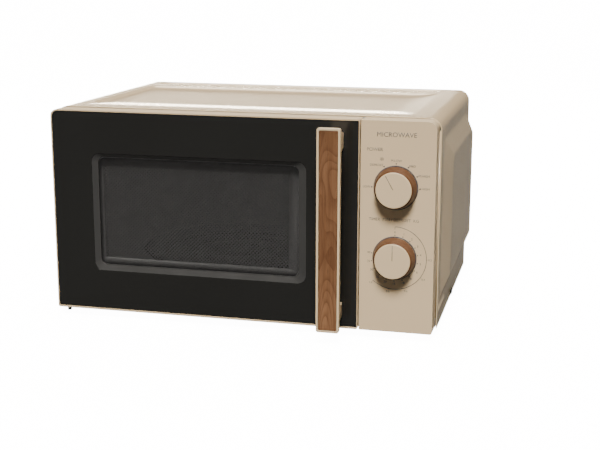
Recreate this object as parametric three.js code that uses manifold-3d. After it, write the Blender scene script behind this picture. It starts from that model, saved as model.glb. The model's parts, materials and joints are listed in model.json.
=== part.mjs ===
// Countertop microwave oven with a side-hinged door and two dial controls. Millimetres, +Z up.
// The part's origin is the centre of its footprint on the table, +X to the right of the door and +Y to
// the back. Every piece is drawn in the body's frame, where y = 0 is the front face of the door and z = 0
// is the underside of the body, and one group at the end moves the body onto its feet.
import * as THREE from "three";
import { ConvexGeometry } from "three/addons/geometries/ConvexGeometry.js";
import { mergeVertices } from "three/addons/utils/BufferGeometryUtils.js";
import Module from "manifold-3d";

const wasm = await Module();
wasm.setup();

// ---------- driving dimensions ----------
const FRONT_W = 450; // width over the door and the control panel
const BODY_H = 238; // height of the front
const BODY_D = 322; // front face to the back edge of the cover
const FOOT_H = 10;
const FRONT_T = 22; // thickness of the door and of the control panel
const DOOR_GAP = 2; // door to the chassis behind it
const CORNER_R = 9.5; // outer top corners of the front
const GAP = 0.3; // between pieces that touch

const COVER_HALF = 227.3; // half width of the flat sides of the cover
const COVER_T = 0.9; // steel sheet of the casing
const COVER_R = 14; // long top edges of the cover
const COVER_TOP = BODY_H + 1; // flat border of the top
const TOP_DROP = 1.8; // sunk panels of the top
const BULGE = 6.4; // stamped bulge on each side
const CHASSIS_Y = FRONT_T + DOOR_GAP; // front face of the chassis

const DOOR_LEFT = -FRONT_W / 2;
const DOOR_RIGHT = 140.5;
const PANEL_LEFT = 142.1;
const PANEL_RIGHT = FRONT_W / 2;
const RIM = 2.3; // painted rim round the black front panel, at the left and below
const RIM_RIGHT = 0.9;
const RIM_TOP = 1.5;
const FACE_T = 3; // black front panel

const WINDOW = { x0: -175, x1: 81, z0: 48.5, z1: 188 }; // outer edge of the window recess
const PANE = { x0: -167.7, x1: 71.3, z0: 56, z1: 183 }; // pane in the floor of the recess
const SCREEN = { x0: -163, x1: 66, z0: 62, z1: 178 }; // perforated sheet
const RECESS = 3.4; // depth of the window recess
const PANE_T = 1.6;

const HINGE_X = -216; // door hinge axis
const HINGE_Y = FRONT_T - 9;
const HINGE_R = 9; // rounding of the door's back left edge about the axis
const PIN_R = 2.5;

const HANDLE = { x0: 101, x1: 127, z0: 5.4, z1: 232.4 };
const HANDLE_REACH = 37; // door face to the front of the handle
const HANDLE_T = 6;
const INLAY_EDGE = 2.5; // painted border round the wooden inlay
const INLAY_T = 3;

const KNOB_X = 181.5;
const POWER_Z = 164.5;
const TIMER_Z = 85.5;
const RING_R = 23.75; // wooden ring at the foot of a knob
const CAP_R = 19.75;
const KNOB_REACH = 17; // panel face to the front of a knob
const SHAFT_R = 3;
const POWER_POINTER = -30; // the power knob rests on its defrost mark

const OVEN = { x0: -197, x1: 103, y1: 305, z0: 23, z1: 215 }; // inside of the oven cavity
const WALL_T = 0.8; // cavity walls and the front plate
const TABLE_X = (OVEN.x0 + OVEN.x1) / 2; // turntable axis
const TABLE_Y = 166;
const TRAY_R = 122.5;
const TRAY_T = 4;
const RING_TRACK_R = 92; // circle that the rollers run on
const ROLLER_R = 7;

const LATCH_X = 125; // line of the latch hooks
const HOOKS_Z = [52, 186];

// ---------- looks ----------
const LOOKS = {
  cream: [0xc6baa5, 0.42, 0],
  black: [0x202021, 0.12, 0],
  smoke: [0x3a3a3b, 0.1, 0],
  wood: [0x8c6446, 0.6, 0],
  steel: [0xb9bcbe, 0.4, 0.9],
  dark_steel: [0x6d7073, 0.5, 0.8],
  enamel: [0xd8d8d4, 0.3, 0],
  dark_plastic: [0x2a2a2b, 0.55, 0],
  white_plastic: [0xe8e6df, 0.5, 0],
  rubber: [0x1b1b1b, 0.85, 0],
  glass: [0xcfdcdc, 0.05, 0],
  copper: [0xb56d3a, 0.4, 0.7],
  mica: [0xb7ab90, 0.7, 0],
  board: [0x3f6b4a, 0.6, 0],
};

function look(name) {
  const [color, roughness, metalness] = LOOKS[name];
  return new THREE.MeshStandardMaterial({ color, roughness, metalness });
}

// ---------- outlines: lists of points, seen along the axis that they are drawn across ----------
const TURN = Math.PI * 2;

function arc(cx, cy, r, from, to, steps) {
  return Array.from({ length: steps + 1 }, (_, i) => {
    const angle = from + ((to - from) * i) / steps;
    return new THREE.Vector2(cx + r * Math.cos(angle), cy + r * Math.sin(angle));
  });
}

function circle(cx, cy, r, steps = 24) {
  return arc(cx, cy, r, 0, TURN - TURN / steps, steps - 1);
}

function polygon(...pairs) {
  return pairs.map(([x, y]) => new THREE.Vector2(x, y));
}

function rectangle(x0, x1, y0, y1) {
  return polygon([x0, y0], [x1, y0], [x1, y1], [x0, y1]);
}

/** A rectangle with a radius at each corner, in the order low left, low right, top right, top left. */
function rounded(x0, x1, y0, y1, radii, steps = 4) {
  const [r0, r1, r2, r3] = Array.isArray(radii) ? radii : [radii, radii, radii, radii];
  return [
    ...arc(x0 + r0, y0 + r0, r0, TURN / 2, (TURN * 3) / 4, steps),
    ...arc(x1 - r1, y0 + r1, r1, (TURN * 3) / 4, TURN, steps),
    ...arc(x1 - r2, y1 - r2, r2, 0, TURN / 4, steps),
    ...arc(x0 + r3, y1 - r3, r3, TURN / 4, TURN / 2, steps),
  ];
}

/** The rounded outline of a box in x and z, grown outwards on all sides. */
function grown({ x0, x1, z0, z1 }, by, radius) {
  return rounded(x0 - by, x1 + by, z0 - by, z1 + by, radius, 4);
}

// ---------- solids ----------
/** Merges shared vertices and drops empty triangles, which turns a closed geometry into a solid. */
function solid(geometry) {
  const bare = geometry.index ? geometry.toNonIndexed() : geometry.clone();
  bare.deleteAttribute("normal");
  bare.deleteAttribute("uv");
  const merged = mergeVertices(bare, 1e-4);
  const index = merged.index.array;
  const kept = [];
  for (let i = 0; i < index.length; i += 3) {
    const [a, b, c] = index.slice(i, i + 3);
    if (a !== b && b !== c && c !== a) kept.push(a, b, c);
  }
  const vertProperties = merged.attributes.position.array;
  return new wasm.Manifold(new wasm.Mesh({ numProp: 3, vertProperties, triVerts: new Uint32Array(kept) }));
}

const X = new THREE.Vector3(1, 0, 0);
const Y = new THREE.Vector3(0, 1, 0);
const Z = new THREE.Vector3(0, 0, 1);

function prism(outline, holes, depth) {
  const shape = new THREE.Shape(outline);
  shape.holes = holes.map((points) => new THREE.Path(points));
  return new THREE.ExtrudeGeometry(shape, { depth, bevelEnabled: false, steps: 1 });
}

/** Prisms along the three axes. Outlines are in (x, z) along Y, (y, z) along X and (x, y) along Z. */
function alongY(outline, y0, y1, holes = []) {
  const geometry = prism(outline, holes, y1 - y0).rotateX(Math.PI / 2);
  return solid(geometry.translate(0, y1, 0));
}

function alongX(outline, x0, x1, holes = []) {
  const turn = new THREE.Matrix4().makeBasis(Y, Z, X);
  return solid(prism(outline, holes, x1 - x0).applyMatrix4(turn).translate(x0, 0, 0));
}

function alongZ(outline, z0, z1, holes = []) {
  return solid(prism(outline, holes, z1 - z0).translate(0, 0, z0));
}

function block(x0, x1, y0, y1, z0, z1) {
  const box = new THREE.BoxGeometry(x1 - x0, y1 - y0, z1 - z0);
  return solid(box.translate((x0 + x1) / 2, (y0 + y1) / 2, (z0 + z1) / 2));
}

/** A turned solid on an axis through `at`. The profile is a closed list of [radius, distance along it]. */
function turned(profile, axis, at, segments = 32) {
  const points = profile.map(([r, h]) => new THREE.Vector2(r, h));
  const lathe = new THREE.LatheGeometry(points, segments);
  lathe.applyQuaternion(new THREE.Quaternion().setFromUnitVectors(Y, axis));
  return solid(lathe.translate(...at));
}

function hull(points) {
  return solid(new ConvexGeometry(points.map((p) => new THREE.Vector3(...p))));
}

function join(first, ...rest) {
  return rest.reduce((sum, piece) => sum.add(piece), first);
}

function cut(first, ...tools) {
  return tools.reduce((left, tool) => left.subtract(tool), first);
}

const body = new THREE.Group();

function piece(name, made, lookName) {
  const { vertProperties, triVerts } = made.getMesh();
  const geometry = new THREE.BufferGeometry();
  geometry.setAttribute("position", new THREE.BufferAttribute(vertProperties, 3));
  geometry.setIndex(new THREE.BufferAttribute(triVerts, 1));
  geometry.computeVertexNormals();
  const mesh = new THREE.Mesh(geometry, look(lookName));
  mesh.name = name;
  body.add(mesh);
}

// ---------- casing ----------
const REAR_Y = BODY_D - 4; // outer face of the rear panel
const BASE_HALF = COVER_HALF - COVER_T - 1;
const LINER_R = COVER_R - COVER_T - GAP; // top corners of the panels inside the cover

const BULGE_FOOT = [
  [50, 30], [45.5, 35], [45.5, 200], [55, 212.7], [286, 212.7], [BODY_D, 199], [BODY_D, 30],
];
const BULGE_FACE = [[96, 46], [91, 51], [91, 181], [108, 188.5], [304, 188.5], [BODY_D, 185], [BODY_D, 46]];

/** One side's stamped bulge as a solid, pulled in by the sheet's thickness for its inner face. */
function bulge(side, inset) {
  const foot = BULGE_FOOT.map(([y, z]) => [side * (COVER_HALF - inset - 0.5), y, z]);
  const face = BULGE_FACE.map(([y, z]) => [side * (COVER_HALF + BULGE - inset), y, z]);
  const openBack = ([x, y, z]) => [x, y >= BODY_D && inset > 0 ? BODY_D + 1 : y, z];
  return hull([...foot, ...face].map(openBack));
}

const SUNK_PANELS = [
  { edge: [-201, 195, 42, 266], floor: [-193, 187, 88, 260] }, // middle of the top
  { edge: [-201, 190, 288, 318], floor: [-196, 185, 293, 313] }, // groove along the back edge
];

/** A sunk panel of the cover's top as a solid, from its sloping sides down to its floor. */
function sunk({ edge, floor }, inset) {
  const high = COVER_TOP - inset + 0.5;
  const low = COVER_TOP - TOP_DROP - inset;
  return hull([
    ...rectangle(...edge).map((p) => [p.x, p.y, high]),
    ...rectangle(...floor).map((p) => [p.x, p.y, low]),
  ]);
}

/** The cover's section, pulled in on all sides and open or closed at its bottom edge. */
function coverSection(inset, bottom) {
  const half = COVER_HALF - inset;
  const r = COVER_R - inset;
  const top = COVER_TOP - inset;
  return [
    ...polygon([-half, bottom], [half, bottom]),
    ...arc(half - r, top - r, r, 0, TURN / 4, 5),
    ...arc(-half + r, top - r, r, TURN / 4, TURN / 2, 5),
  ];
}

const SIDE_SCREW = { y: 158, z: 7 };
const TOP_VENT = { from: -168, to: 168, pitch: 16, half: 4, y0: 279, y1: 281.5 };

function topVents() {
  const vents = [];
  for (let x = TOP_VENT.from; x <= TOP_VENT.to; x += TOP_VENT.pitch) {
    const slot = rectangle(x - TOP_VENT.half, x + TOP_VENT.half, TOP_VENT.y0, TOP_VENT.y1);
    vents.push(alongZ(slot, COVER_TOP - 5, COVER_TOP + 5));
  }
  return vents;
}

function makeCover() {
  const shape = (inset, bottom, y0, y1) => {
    const box = join(alongY(coverSection(inset, bottom), y0, y1), bulge(1, inset), bulge(-1, inset));
    return cut(box, ...SUNK_PANELS.map((panel) => sunk(panel, inset)));
  };
  const screwHole = alongX(circle(SIDE_SCREW.y, SIDE_SCREW.z, 2.4, 12), -240, 240);
  const sheet = cut(shape(0, 0.5, CHASSIS_Y, BODY_D), shape(COVER_T, -1, CHASSIS_Y - 1, BODY_D + 1));
  piece("cabinet_cover", cut(sheet, screwHole, ...topVents()), "cream");
}

function makeBase() {
  const inner = BASE_HALF - COVER_T;
  const outline = polygon(
    [-BASE_HALF, 12], [-BASE_HALF, 1], [BASE_HALF, 1], [BASE_HALF, 12],
    [inner, 12], [inner, 1 + COVER_T], [-inner, 1 + COVER_T], [-inner, 12],
  );
  const tray = alongY(outline, CHASSIS_Y + WALL_T + 1, REAR_Y - COVER_T - GAP);
  const screwHole = alongX(circle(SIDE_SCREW.y, SIDE_SCREW.z, 2.4, 12), -240, 240);
  const vents = [];
  for (let x = 122; x <= 202; x += 16) {
    vents.push(alongZ(rectangle(x, x + 6, 200, 250), 0, 4));
  }
  piece("base_plate", cut(tray, screwHole, ...vents), "steel");
}

const GLAND = { x: 172, z: 34 };
const REAR_SCREW_X = 205;
const REAR_SCREW_Z = 214;

/** The rear panel fills the cover's back opening, with an ear in each side bulge. */
function makeRearPanel() {
  const half = COVER_HALF - COVER_T - GAP;
  const ear = COVER_HALF + BULGE - COVER_T - GAP;
  const top = COVER_TOP - COVER_T - GAP;
  const r = LINER_R;
  const outline = [
    ...polygon([-half, 1], [half, 1], [half, 31], [ear, 47], [ear, 184], [half, 197]),
    ...arc(half - r, top - r, r, 0, TURN / 4, 3),
    ...arc(-half + r, top - r, r, TURN / 4, TURN / 2, 3),
    ...polygon([-half, 197], [-ear, 184], [-ear, 47], [-half, 31]),
  ];
  const through = [REAR_Y - COVER_T - 1, REAR_Y + 1];
  const holes = [alongY(circle(GLAND.x, GLAND.z, 9.4, 16), ...through)];
  for (let z = 70; z <= 150; z += 10) {
    for (const x of [-160, 118, 164]) {
      holes.push(block(x, x + 36, ...through, z, z + 4));
    }
  }
  for (const side of [-1, 1]) {
    holes.push(alongY(circle(side * REAR_SCREW_X, REAR_SCREW_Z, 2.4, 12), ...through));
  }
  piece("rear_panel", cut(alongY(outline, REAR_Y - COVER_T, REAR_Y), ...holes), "steel");
}

/** A pan-head screw whose head sits on the face at `at` and whose shank runs back along -axis. */
function screw(name, axis, at, headR, shankR, length, lookName = "black") {
  const profile = [
    [0, -length], [shankR, -length], [shankR, 0], [headR, 0], [headR, 1.4], [headR * 0.6, 2.4], [0, 2.4],
  ];
  piece(name, turned(profile, axis, at, 16), lookName);
}

function makeFeet() {
  const profile = [[0, -FOOT_H], [11, -FOOT_H], [12, -FOOT_H + 1.2], [14, 0.7], [0, 0.7]];
  for (const [depth, y] of [["front", 52], ["rear", 282]]) {
    for (const [side, x] of [["left", -188], ["right", 188]]) {
      piece(`foot_${depth}_${side}`, turned(profile, Z, [x, y, 0], 24), "rubber");
    }
  }
}

function makeGland() {
  const profile = [
    [4.2, -5], [9, -5], [9, GAP], [12, GAP], [12, 2.5], [8, 3.6], [6.5, 9], [4.2, 9], [4.2, -5],
  ];
  piece("cord_gland", turned(profile, Y, [GLAND.x, REAR_Y, GLAND.z], 20), "dark_plastic");
}

function makeCasing() {
  makeCover();
  makeBase();
  makeRearPanel();
  makeFeet();
  makeGland();
  screw("side_screw_right", X, [COVER_HALF + GAP, SIDE_SCREW.y, SIDE_SCREW.z], 4.4, 2, 6);
  screw("side_screw_left", X.clone().negate(), [-COVER_HALF - GAP, SIDE_SCREW.y, SIDE_SCREW.z], 4.4, 2, 6);
  screw("rear_screw_right", Y, [REAR_SCREW_X, REAR_Y + GAP, REAR_SCREW_Z], 4.4, 2, 6);
  screw("rear_screw_left", Y, [-REAR_SCREW_X, REAR_Y + GAP, REAR_SCREW_Z], 4.4, 2, 6);
}

// ---------- chassis and oven cavity ----------
const SLOT_HALF_W = 5;

function makeFrontPlate() {
  const half = FRONT_W / 2 - 1;
  const outline = rounded(-half, half, 1, BODY_H - 1, [1, 1, LINER_R, LINER_R], 3);
  const holes = [rectangle(OVEN.x0, OVEN.x1, OVEN.z0, OVEN.z1)];
  for (const z of HOOKS_Z) {
    holes.push(rectangle(LATCH_X - SLOT_HALF_W, LATCH_X + SLOT_HALF_W, z - 14, z + 10));
  }
  holes.push(rectangle(152, 212, 40, 195)); // way through to the controls
  piece("front_plate", alongY(outline, CHASSIS_Y, CHASSIS_Y + WALL_T, holes), "enamel");
}

function lampHoles() {
  const holes = [];
  for (let row = 0; row < 3; row += 1) {
    for (let column = 0; column < 4; column += 1) {
      holes.push(circle(232 + column * 9, 150 + row * 9, 2.2, 6));
    }
  }
  return holes;
}

const GUIDE = { y0: 120, y1: 196, z0: 78, z1: 128 }; // microwave feed opening in the right wall

function makeCavity() {
  const y0 = CHASSIS_Y + WALL_T + GAP;
  const { x0, x1, y1, z0, z1 } = OVEN;
  const sides = rectangle(y0, y1, z0, z1);
  const feed = rectangle(GUIDE.y0, GUIDE.y1, GUIDE.z0, GUIDE.z1);
  piece("cavity_left_wall", alongX(sides, x0 - WALL_T, x0), "enamel");
  piece("cavity_right_wall", alongX(sides, x1, x1 + WALL_T, [feed, ...lampHoles()]), "enamel");
  const across = rectangle(x0 - WALL_T, x1 + WALL_T, y0, y1);
  piece("cavity_roof", alongZ(across, z1 + GAP, z1 + GAP + WALL_T), "enamel");
  const shaftHole = circle(TABLE_X, TABLE_Y, 9, 20);
  piece("cavity_floor", alongZ(across, z0 - GAP - WALL_T, z0 - GAP, [shaftHole]), "enamel");
  const back = rectangle(x0 - WALL_T, x1 + WALL_T, z0 - GAP - WALL_T, z1 + GAP + WALL_T);
  piece("cavity_back_wall", alongY(back, y1 + GAP, y1 + GAP + WALL_T), "enamel");
  const cover = rounded(GUIDE.y0 - 8, GUIDE.y1 + 8, GUIDE.z0 - 8, GUIDE.z1 + 8, 4, 3);
  piece("waveguide_cover", alongX(cover, x1 - GAP - 0.8, x1 - GAP), "mica");
}

// ---------- turntable ----------
const FLOOR_Z = OVEN.z0 - GAP; // cavity floor's top face
const RING_Z = FLOOR_Z + ROLLER_R; // roller axles
const TRAY_Z = RING_Z + ROLLER_R + GAP; // underside of the tray

function makeTurntable() {
  const under = FLOOR_Z - WALL_T - GAP;
  const motor = join(
    turned([[0, under - 15], [25, under - 15], [25, under], [0, under]], Z, [TABLE_X, TABLE_Y, 0], 24),
    block(TABLE_X + 20, TABLE_X + 34, TABLE_Y - 9, TABLE_Y + 9, under - 13, under - 2),
  );
  const shaftSocket = turned(
    [[0, under - 8], [4.2, under - 8], [4.2, under + 1], [0, under + 1]], Z, [TABLE_X, TABLE_Y, 0], 16,
  );
  piece("turntable_motor", cut(motor, shaftSocket), "dark_steel");

  const top = TRAY_Z - GAP;
  const stem = turned(
    [[0, under - 6], [3.8, under - 6], [3.8, FLOOR_Z + 1], [7, FLOOR_Z + 1], [7, top - 6], [0, top - 6]],
    Z, [TABLE_X, TABLE_Y, 0], 20,
  );
  const lobes = [0, 1, 2].map((i) => {
    const angle = (TURN * i) / 3 + TURN / 4;
    const lobe = new THREE.BoxGeometry(9, 26, 6).translate(0, 6.5, 0);
    lobe.rotateZ(angle - TURN / 4).translate(TABLE_X, TABLE_Y, top - 3);
    return solid(lobe);
  });
  piece("drive_coupler", join(stem, ...lobes), "white_plastic");

  makeRollerRing();
  makeTray();
}

function makeRollerRing() {
  const at = [TABLE_X, TABLE_Y, RING_Z];
  const inner = RING_TRACK_R - 11;
  const outer = RING_TRACK_R - 6;
  const band = turned([[inner, -2.5], [outer, -2.5], [outer, 2.5], [inner, 2.5], [inner, -2.5]], Z, at, 40);
  const axles = [0, 1, 2].map((i) => rollerSolid(i, [[0, -8], [1.6, -8], [1.6, 5], [0, 5]], 10));
  piece("roller_ring", join(band, ...axles), "white_plastic");
  for (const i of [0, 1, 2]) {
    const wheel = [[1.9, -3], [ROLLER_R - GAP / 2, -3], [ROLLER_R - GAP / 2, 3], [1.9, 3], [1.9, -3]];
    piece(`roller_${i + 1}`, rollerSolid(i, wheel, 20), "white_plastic");
  }
}

/** A turned piece on a roller's axle, which points out from the turntable's axis. */
function rollerSolid(index, profile, segments) {
  const angle = (TURN * index) / 3 + TURN / 12;
  const out = new THREE.Vector3(Math.cos(angle), Math.sin(angle), 0);
  const at = [TABLE_X + RING_TRACK_R * out.x, TABLE_Y + RING_TRACK_R * out.y, RING_Z];
  return turned(profile, out, at, segments);
}

function makeTray() {
  const z = TRAY_Z;
  const profile = [
    [0, z], [TRAY_R - 16, z], [TRAY_R - 4, z + 6], [TRAY_R, z + 9], [TRAY_R, z + 10.5],
    [TRAY_R - 4, z + 10.5], [TRAY_R - 17, z + TRAY_T], [0, z + TRAY_T],
  ];
  piece("glass_tray", turned(profile, Z, [TABLE_X, TABLE_Y, 0], 48), "glass");
}

// ---------- works behind the control panel ----------
const BAY_X = OVEN.x1 + WALL_T + 1; // right wall's outer face, with room

function makeWorks() {
  const duct = cut(
    block(BAY_X, BAY_X + 40, GUIDE.y0 - 4, GUIDE.y1 + 4, GUIDE.z0 - 4, GUIDE.z1 + 90),
    block(BAY_X - 1, BAY_X + 38.5, GUIDE.y0, GUIDE.y1, GUIDE.z0, GUIDE.z1 + 86),
    alongX(circle(158, 186, 9, 16), BAY_X + 36, BAY_X + 44),
  );
  piece("waveguide", duct, "steel");

  const core = [BAY_X + 45 + GAP, 158, 186];
  const yoke = cut(
    block(core[0], core[0] + 58, 118, 198, 150, 222),
    block(core[0] + 4, core[0] + 54, 117, 199, 154, 218),
  );
  const fins = [0, 1, 2, 3].map((i) => {
    const x = core[0] + 12 + i * 10;
    return alongX(rectangle(122, 194, 153, 219), x, x + 1.6);
  });
  const anode = turned([[0, 3], [17, 3], [17, 55], [0, 55]], X, core, 20);
  const antenna = turned([[0, -18], [7, -18], [7, 5], [0, 5]], X, core, 12);
  piece("magnetron", join(yoke, ...fins, anode, antenna), "dark_steel");

  makeTransformer();
  makeFan();
  const can = rounded(110, 162, 26, 58, 15, 5);
  piece("hv_capacitor", alongY(can, 206, 290), "steel");
  const board = join(
    block(112, 118, 216, 286, 66, 68),
    block(112, 168, 216, 286, 64, 66),
    turned([[0, 66], [9, 66], [9, 84], [0, 84]], Z, [135, 236, 0], 16),
    block(146, 162, 250, 276, 66, 78),
  );
  piece("noise_filter_board", board, "board");
  const lamp = join(
    turned([[0, 0], [9, 0], [11, 10], [8, 20], [0, 24]], X, [BAY_X + 4, 246, 160], 20),
    turned([[0, 20], [13, 20], [13, 40], [0, 40]], X, [BAY_X + 4, 246, 160], 16),
  );
  piece("oven_lamp", lamp, "white_plastic");
}

function makeTransformer() {
  const [x0, x1, y0, y1, z0, z1] = [118, 208, 84, 160, 6, 66];
  const core = cut(
    block(x0, x1, y0, y1, z0, z1),
    block(x0 + 16, x0 + 33, y0 - 1, y1 + 1, z0 + 16, z1 - 16),
    block(x1 - 33, x1 - 16, y0 - 1, y1 + 1, z0 + 16, z1 - 16),
  );
  const foot = block(x0 - 8, x1 + 8, y0 + 10, y1 - 10, z0 - 3, z0 + 0.5);
  piece("transformer_core", join(core, foot), "dark_steel");
  const limb = [x0 + 33, x1 - 33];
  const winding = cut(
    alongZ(rounded(x0 + 17, x1 - 17, y0 - 14, y1 + 14, 12, 3), z0 + 17, z1 - 17),
    block(limb[0] - GAP, limb[1] + GAP, y0 - GAP, y1 + GAP, z0, z1),
  );
  piece("transformer_coil", winding, "copper");
}

function makeFan() {
  const axis = [166, 276, 170];
  const [half, y0, y1] = [44, 286, 312];
  const square = rounded(axis[0] - half, axis[0] + half, axis[2] - half, axis[2] + half, 6, 3);
  const bars = [
    block(axis[0] - half + 3, axis[0] + half - 3, y0, y0 + 3, axis[2] - 5, axis[2] + 5),
  ];
  const shroud = join(alongY(square, y0, y1, [circle(axis[0], axis[2], 40, 24)]), ...bars);
  const socket = alongY(circle(axis[0], axis[2], 4, 16), y0 - 1, y0 + 4);
  piece("fan_shroud", cut(shroud, socket), "white_plastic");

  const core = cut(
    block(axis[0] - 26, axis[0] + 26, 262, y0 - GAP, axis[2] - 24, axis[2] + 24),
    alongY(circle(axis[0], axis[2], 4, 16), 270, y0),
  );
  piece("fan_motor", core, "dark_steel");

  const hub = turned([[0, -2], [3, -2], [3, 17], [11, 17], [11, 34], [0, 34]], Y, axis, 20);
  const blades = [];
  for (let i = 0; i < 5; i += 1) {
    const blade = new THREE.BoxGeometry(26, 2.2, 18).translate(23, 0, 0);
    blade.rotateX(0.6).rotateY((TURN * i) / 5).translate(axis[0], axis[1] + 26, axis[2]);
    blades.push(solid(blade));
  }
  piece("fan_blade", join(hub, ...blades), "dark_plastic");
}

function makeInterlocks() {
  const y0 = CHASSIS_Y + WALL_T + GAP;
  const frame = cut(
    block(LATCH_X - 9, LATCH_X + 9, y0, y0 + 30, HOOKS_Z[0] - 24, HOOKS_Z[1] + 24),
    ...HOOKS_Z.map((z) => block(LATCH_X - 6.5, LATCH_X + 6.5, y0 - 1, y0 + 24, z - 16, z + 12)),
    block(LATCH_X - 6.5, LATCH_X + 6.5, y0 - 1, y0 + 24, HOOKS_Z[0] + 20, HOOKS_Z[1] - 24),
  );
  const switches = [HOOKS_Z[0] - 18, HOOKS_Z[0] + 2, HOOKS_Z[1] - 12].map(
    (z) => block(LATCH_X - 7, LATCH_X + 5, y0 + 29, y0 + 45, z, z + 14),
  );
  piece("interlock_bracket", join(frame, ...switches), "white_plastic");
}

// ---------- control panel ----------
function knobHole(z, r) {
  return circle(KNOB_X, z, r, 20);
}

function makeControlPanel() {
  const wall = 2.5;
  const outer = rounded(PANEL_LEFT, PANEL_RIGHT, 0, BODY_H, [1.5, 2.5, CORNER_R, 1.5], 4);
  const inner = rounded(PANEL_LEFT + wall, PANEL_RIGHT - wall, wall, BODY_H - wall, [1, 1, 7, 1], 4);
  const shell = cut(
    alongY(outer, 0, CHASSIS_Y - GAP, []),
    alongY(inner, wall, CHASSIS_Y + 1),
    ...[POWER_Z, TIMER_Z].map((z) => alongY(knobHole(z, SHAFT_R + 1.2), -1, wall + 1)),
  );
  piece("control_panel", shell, "cream");
}

/** A dial knob: `pointer` is the angle of its engraved line at rest, clockwise from the top, in degrees. */
function makeKnob(prefix, z, pointer) {
  const at = [KNOB_X, 0, z];
  const front = Y.clone().negate();
  const gap = 1.5; // ring to the panel
  const seat = KNOB_REACH - 1.6; // front edge of the ring
  const sleeve = CAP_R - 1; // bore of the ring, round the cap's skirt
  const ring = [
    [sleeve, gap], [RING_R - 0.6, gap], [RING_R, gap + 0.8], [CAP_R + 0.9, seat - 0.6],
    [CAP_R + 0.2, seat], [sleeve, seat], [sleeve, gap],
  ];
  piece(`${prefix}_knob_ring`, turned(ring, front, at, 28), "wood");
  const bore = SHAFT_R + GAP;
  const [foot, head, roof] = [gap + 1, seat + GAP, KNOB_REACH - 3];
  const cap = [
    [bore, foot], [sleeve - GAP, foot], [sleeve - GAP, head], [CAP_R, head], [CAP_R, KNOB_REACH - 0.6],
    [CAP_R - 0.6, KNOB_REACH], [0, KNOB_REACH], [0, roof], [bore, roof], [bore, foot],
  ];
  const groove = new THREE.BoxGeometry(1, 1.6, CAP_R - 2).translate(0, -KNOB_REACH - 0.2, CAP_R / 2);
  groove.rotateY(THREE.MathUtils.degToRad(pointer)).translate(...at);
  piece(`${prefix}_knob_cap`, cut(turned(cap, front, at, 28), solid(groove)), "cream");
  const shaft = [[0, -20], [SHAFT_R, -20], [SHAFT_R, roof - 0.5], [0, roof - 0.5]];
  piece(`${prefix}_shaft`, turned(shaft, front, at, 12), "white_plastic");
}

function makeControls() {
  makeControlPanel();
  makeKnob("power", POWER_Z, POWER_POINTER);
  makeKnob("timer", TIMER_Z, 0);
  const y0 = 12;
  const unit = cut(
    join(
      block(156, 208, y0, 50, TIMER_Z - 28, POWER_Z + 24),
      turned([[0, 49], [19, 49], [22, 60], [0, 62]], Y, [KNOB_X, 0, POWER_Z - 40], 20),
    ),
    ...[POWER_Z, TIMER_Z].map((z) => alongY(knobHole(z, SHAFT_R + 0.5), y0 - 1, 24)),
  );
  piece("timer_switch_unit", unit, "white_plastic");
}

// ---------- door ----------
/** Everything that a hinge bracket sweeps through as the door turns, at one height. */
function hingePocket(z0, z1) {
  const swing = BRACKET_HALF + 1.5;
  return block(DOOR_LEFT - 1, HINGE_X + swing, HINGE_Y - swing, FRONT_T + 1, z0, z1);
}

const BRACKET_HALF = 5; // half width of a hinge bracket
const HINGES = { lower: { plate: 6, pinTo: -7 }, upper: { plate: 229, pinTo: 236.5 } };

function pinBore() {
  const r = PIN_R + 0.35;
  return turned([[0, -1], [r, -1], [r, BODY_H - 1], [0, BODY_H - 1]], Z, [HINGE_X, HINGE_Y, 0], 16);
}

/** The door's outline seen from above: its back left edge is round about the hinge axis. */
function doorPlan() {
  return [
    ...polygon([DOOR_LEFT + 1.5, 0], [DOOR_RIGHT - 1, 0], [DOOR_RIGHT, 1], [DOOR_RIGHT, FRONT_T]),
    ...arc(HINGE_X, HINGE_Y, HINGE_R, TURN / 4, TURN / 2, 5),
    ...polygon([DOOR_LEFT, 1.5]),
  ];
}

const ROOM_RIGHT = LATCH_X + 6.8; // right wall of the room behind the door's face

/** The outline of the black front panel, or of the step that it lies in. */
function faceOutline(inset) {
  return rounded(
    DOOR_LEFT + RIM + inset, DOOR_RIGHT - RIM_RIGHT - inset, RIM + inset, BODY_H - RIM_TOP - inset,
    [1.5, 1, 1, CORNER_R - RIM - inset], 5,
  );
}

function makeDoorFrame() {
  const elevation = rounded(DOOR_LEFT, DOOR_RIGHT, 0, BODY_H, [2.5, 1.5, 1.5, CORNER_R], 5);
  const outer = alongZ(doorPlan(), 0, BODY_H).intersect(alongY(elevation, -1, FRONT_T + 1));
  const room = rounded(DOOR_LEFT + 14, ROOM_RIGHT, 12, BODY_H - 12, 3, 3);
  const shell = cut(
    outer,
    alongY(faceOutline(0), -1, FACE_T + 0.6),
    alongY(room, FACE_T, FRONT_T + 1),
    pinBore(),
    ...Object.values(HINGES).map(({ plate }) => hingePocket(plate - 1.6, plate + 3.6)),
  );
  piece("door_frame", shell, "cream");
}

function makeDoorFace() {
  const floorEdge = 1.3; // recess floor round the pane
  const [corner, flange] = [10, 2];
  const mouth = grown(WINDOW, 0, corner);
  const plate = join(
    alongY(faceOutline(GAP), 0.2, FACE_T),
    alongY(grown(WINDOW, flange, corner + flange), 1, RECESS + PANE_T),
  );
  const slope = hull([
    ...mouth.map((p) => [p.x, 0.1, p.y]),
    ...grown(PANE, floorEdge, 8).map((p) => [p.x, RECESS, p.y]),
  ]);
  const opening = grown(PANE, GAP, 7 + GAP);
  const screwHoles = LEGS_Z.map((z) => alongY(circle(HANDLE_X, z, 2.3, 12), -1, 8));
  const shell = cut(plate, slope, alongY(mouth, -1, 0.11), alongY(opening, 0, 8), ...screwHoles);
  piece("door_front_panel", shell, "black");
  piece("door_window_pane", alongY(grown(PANE, 0, 7), RECESS, RECESS + PANE_T), "smoke");
}

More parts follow.
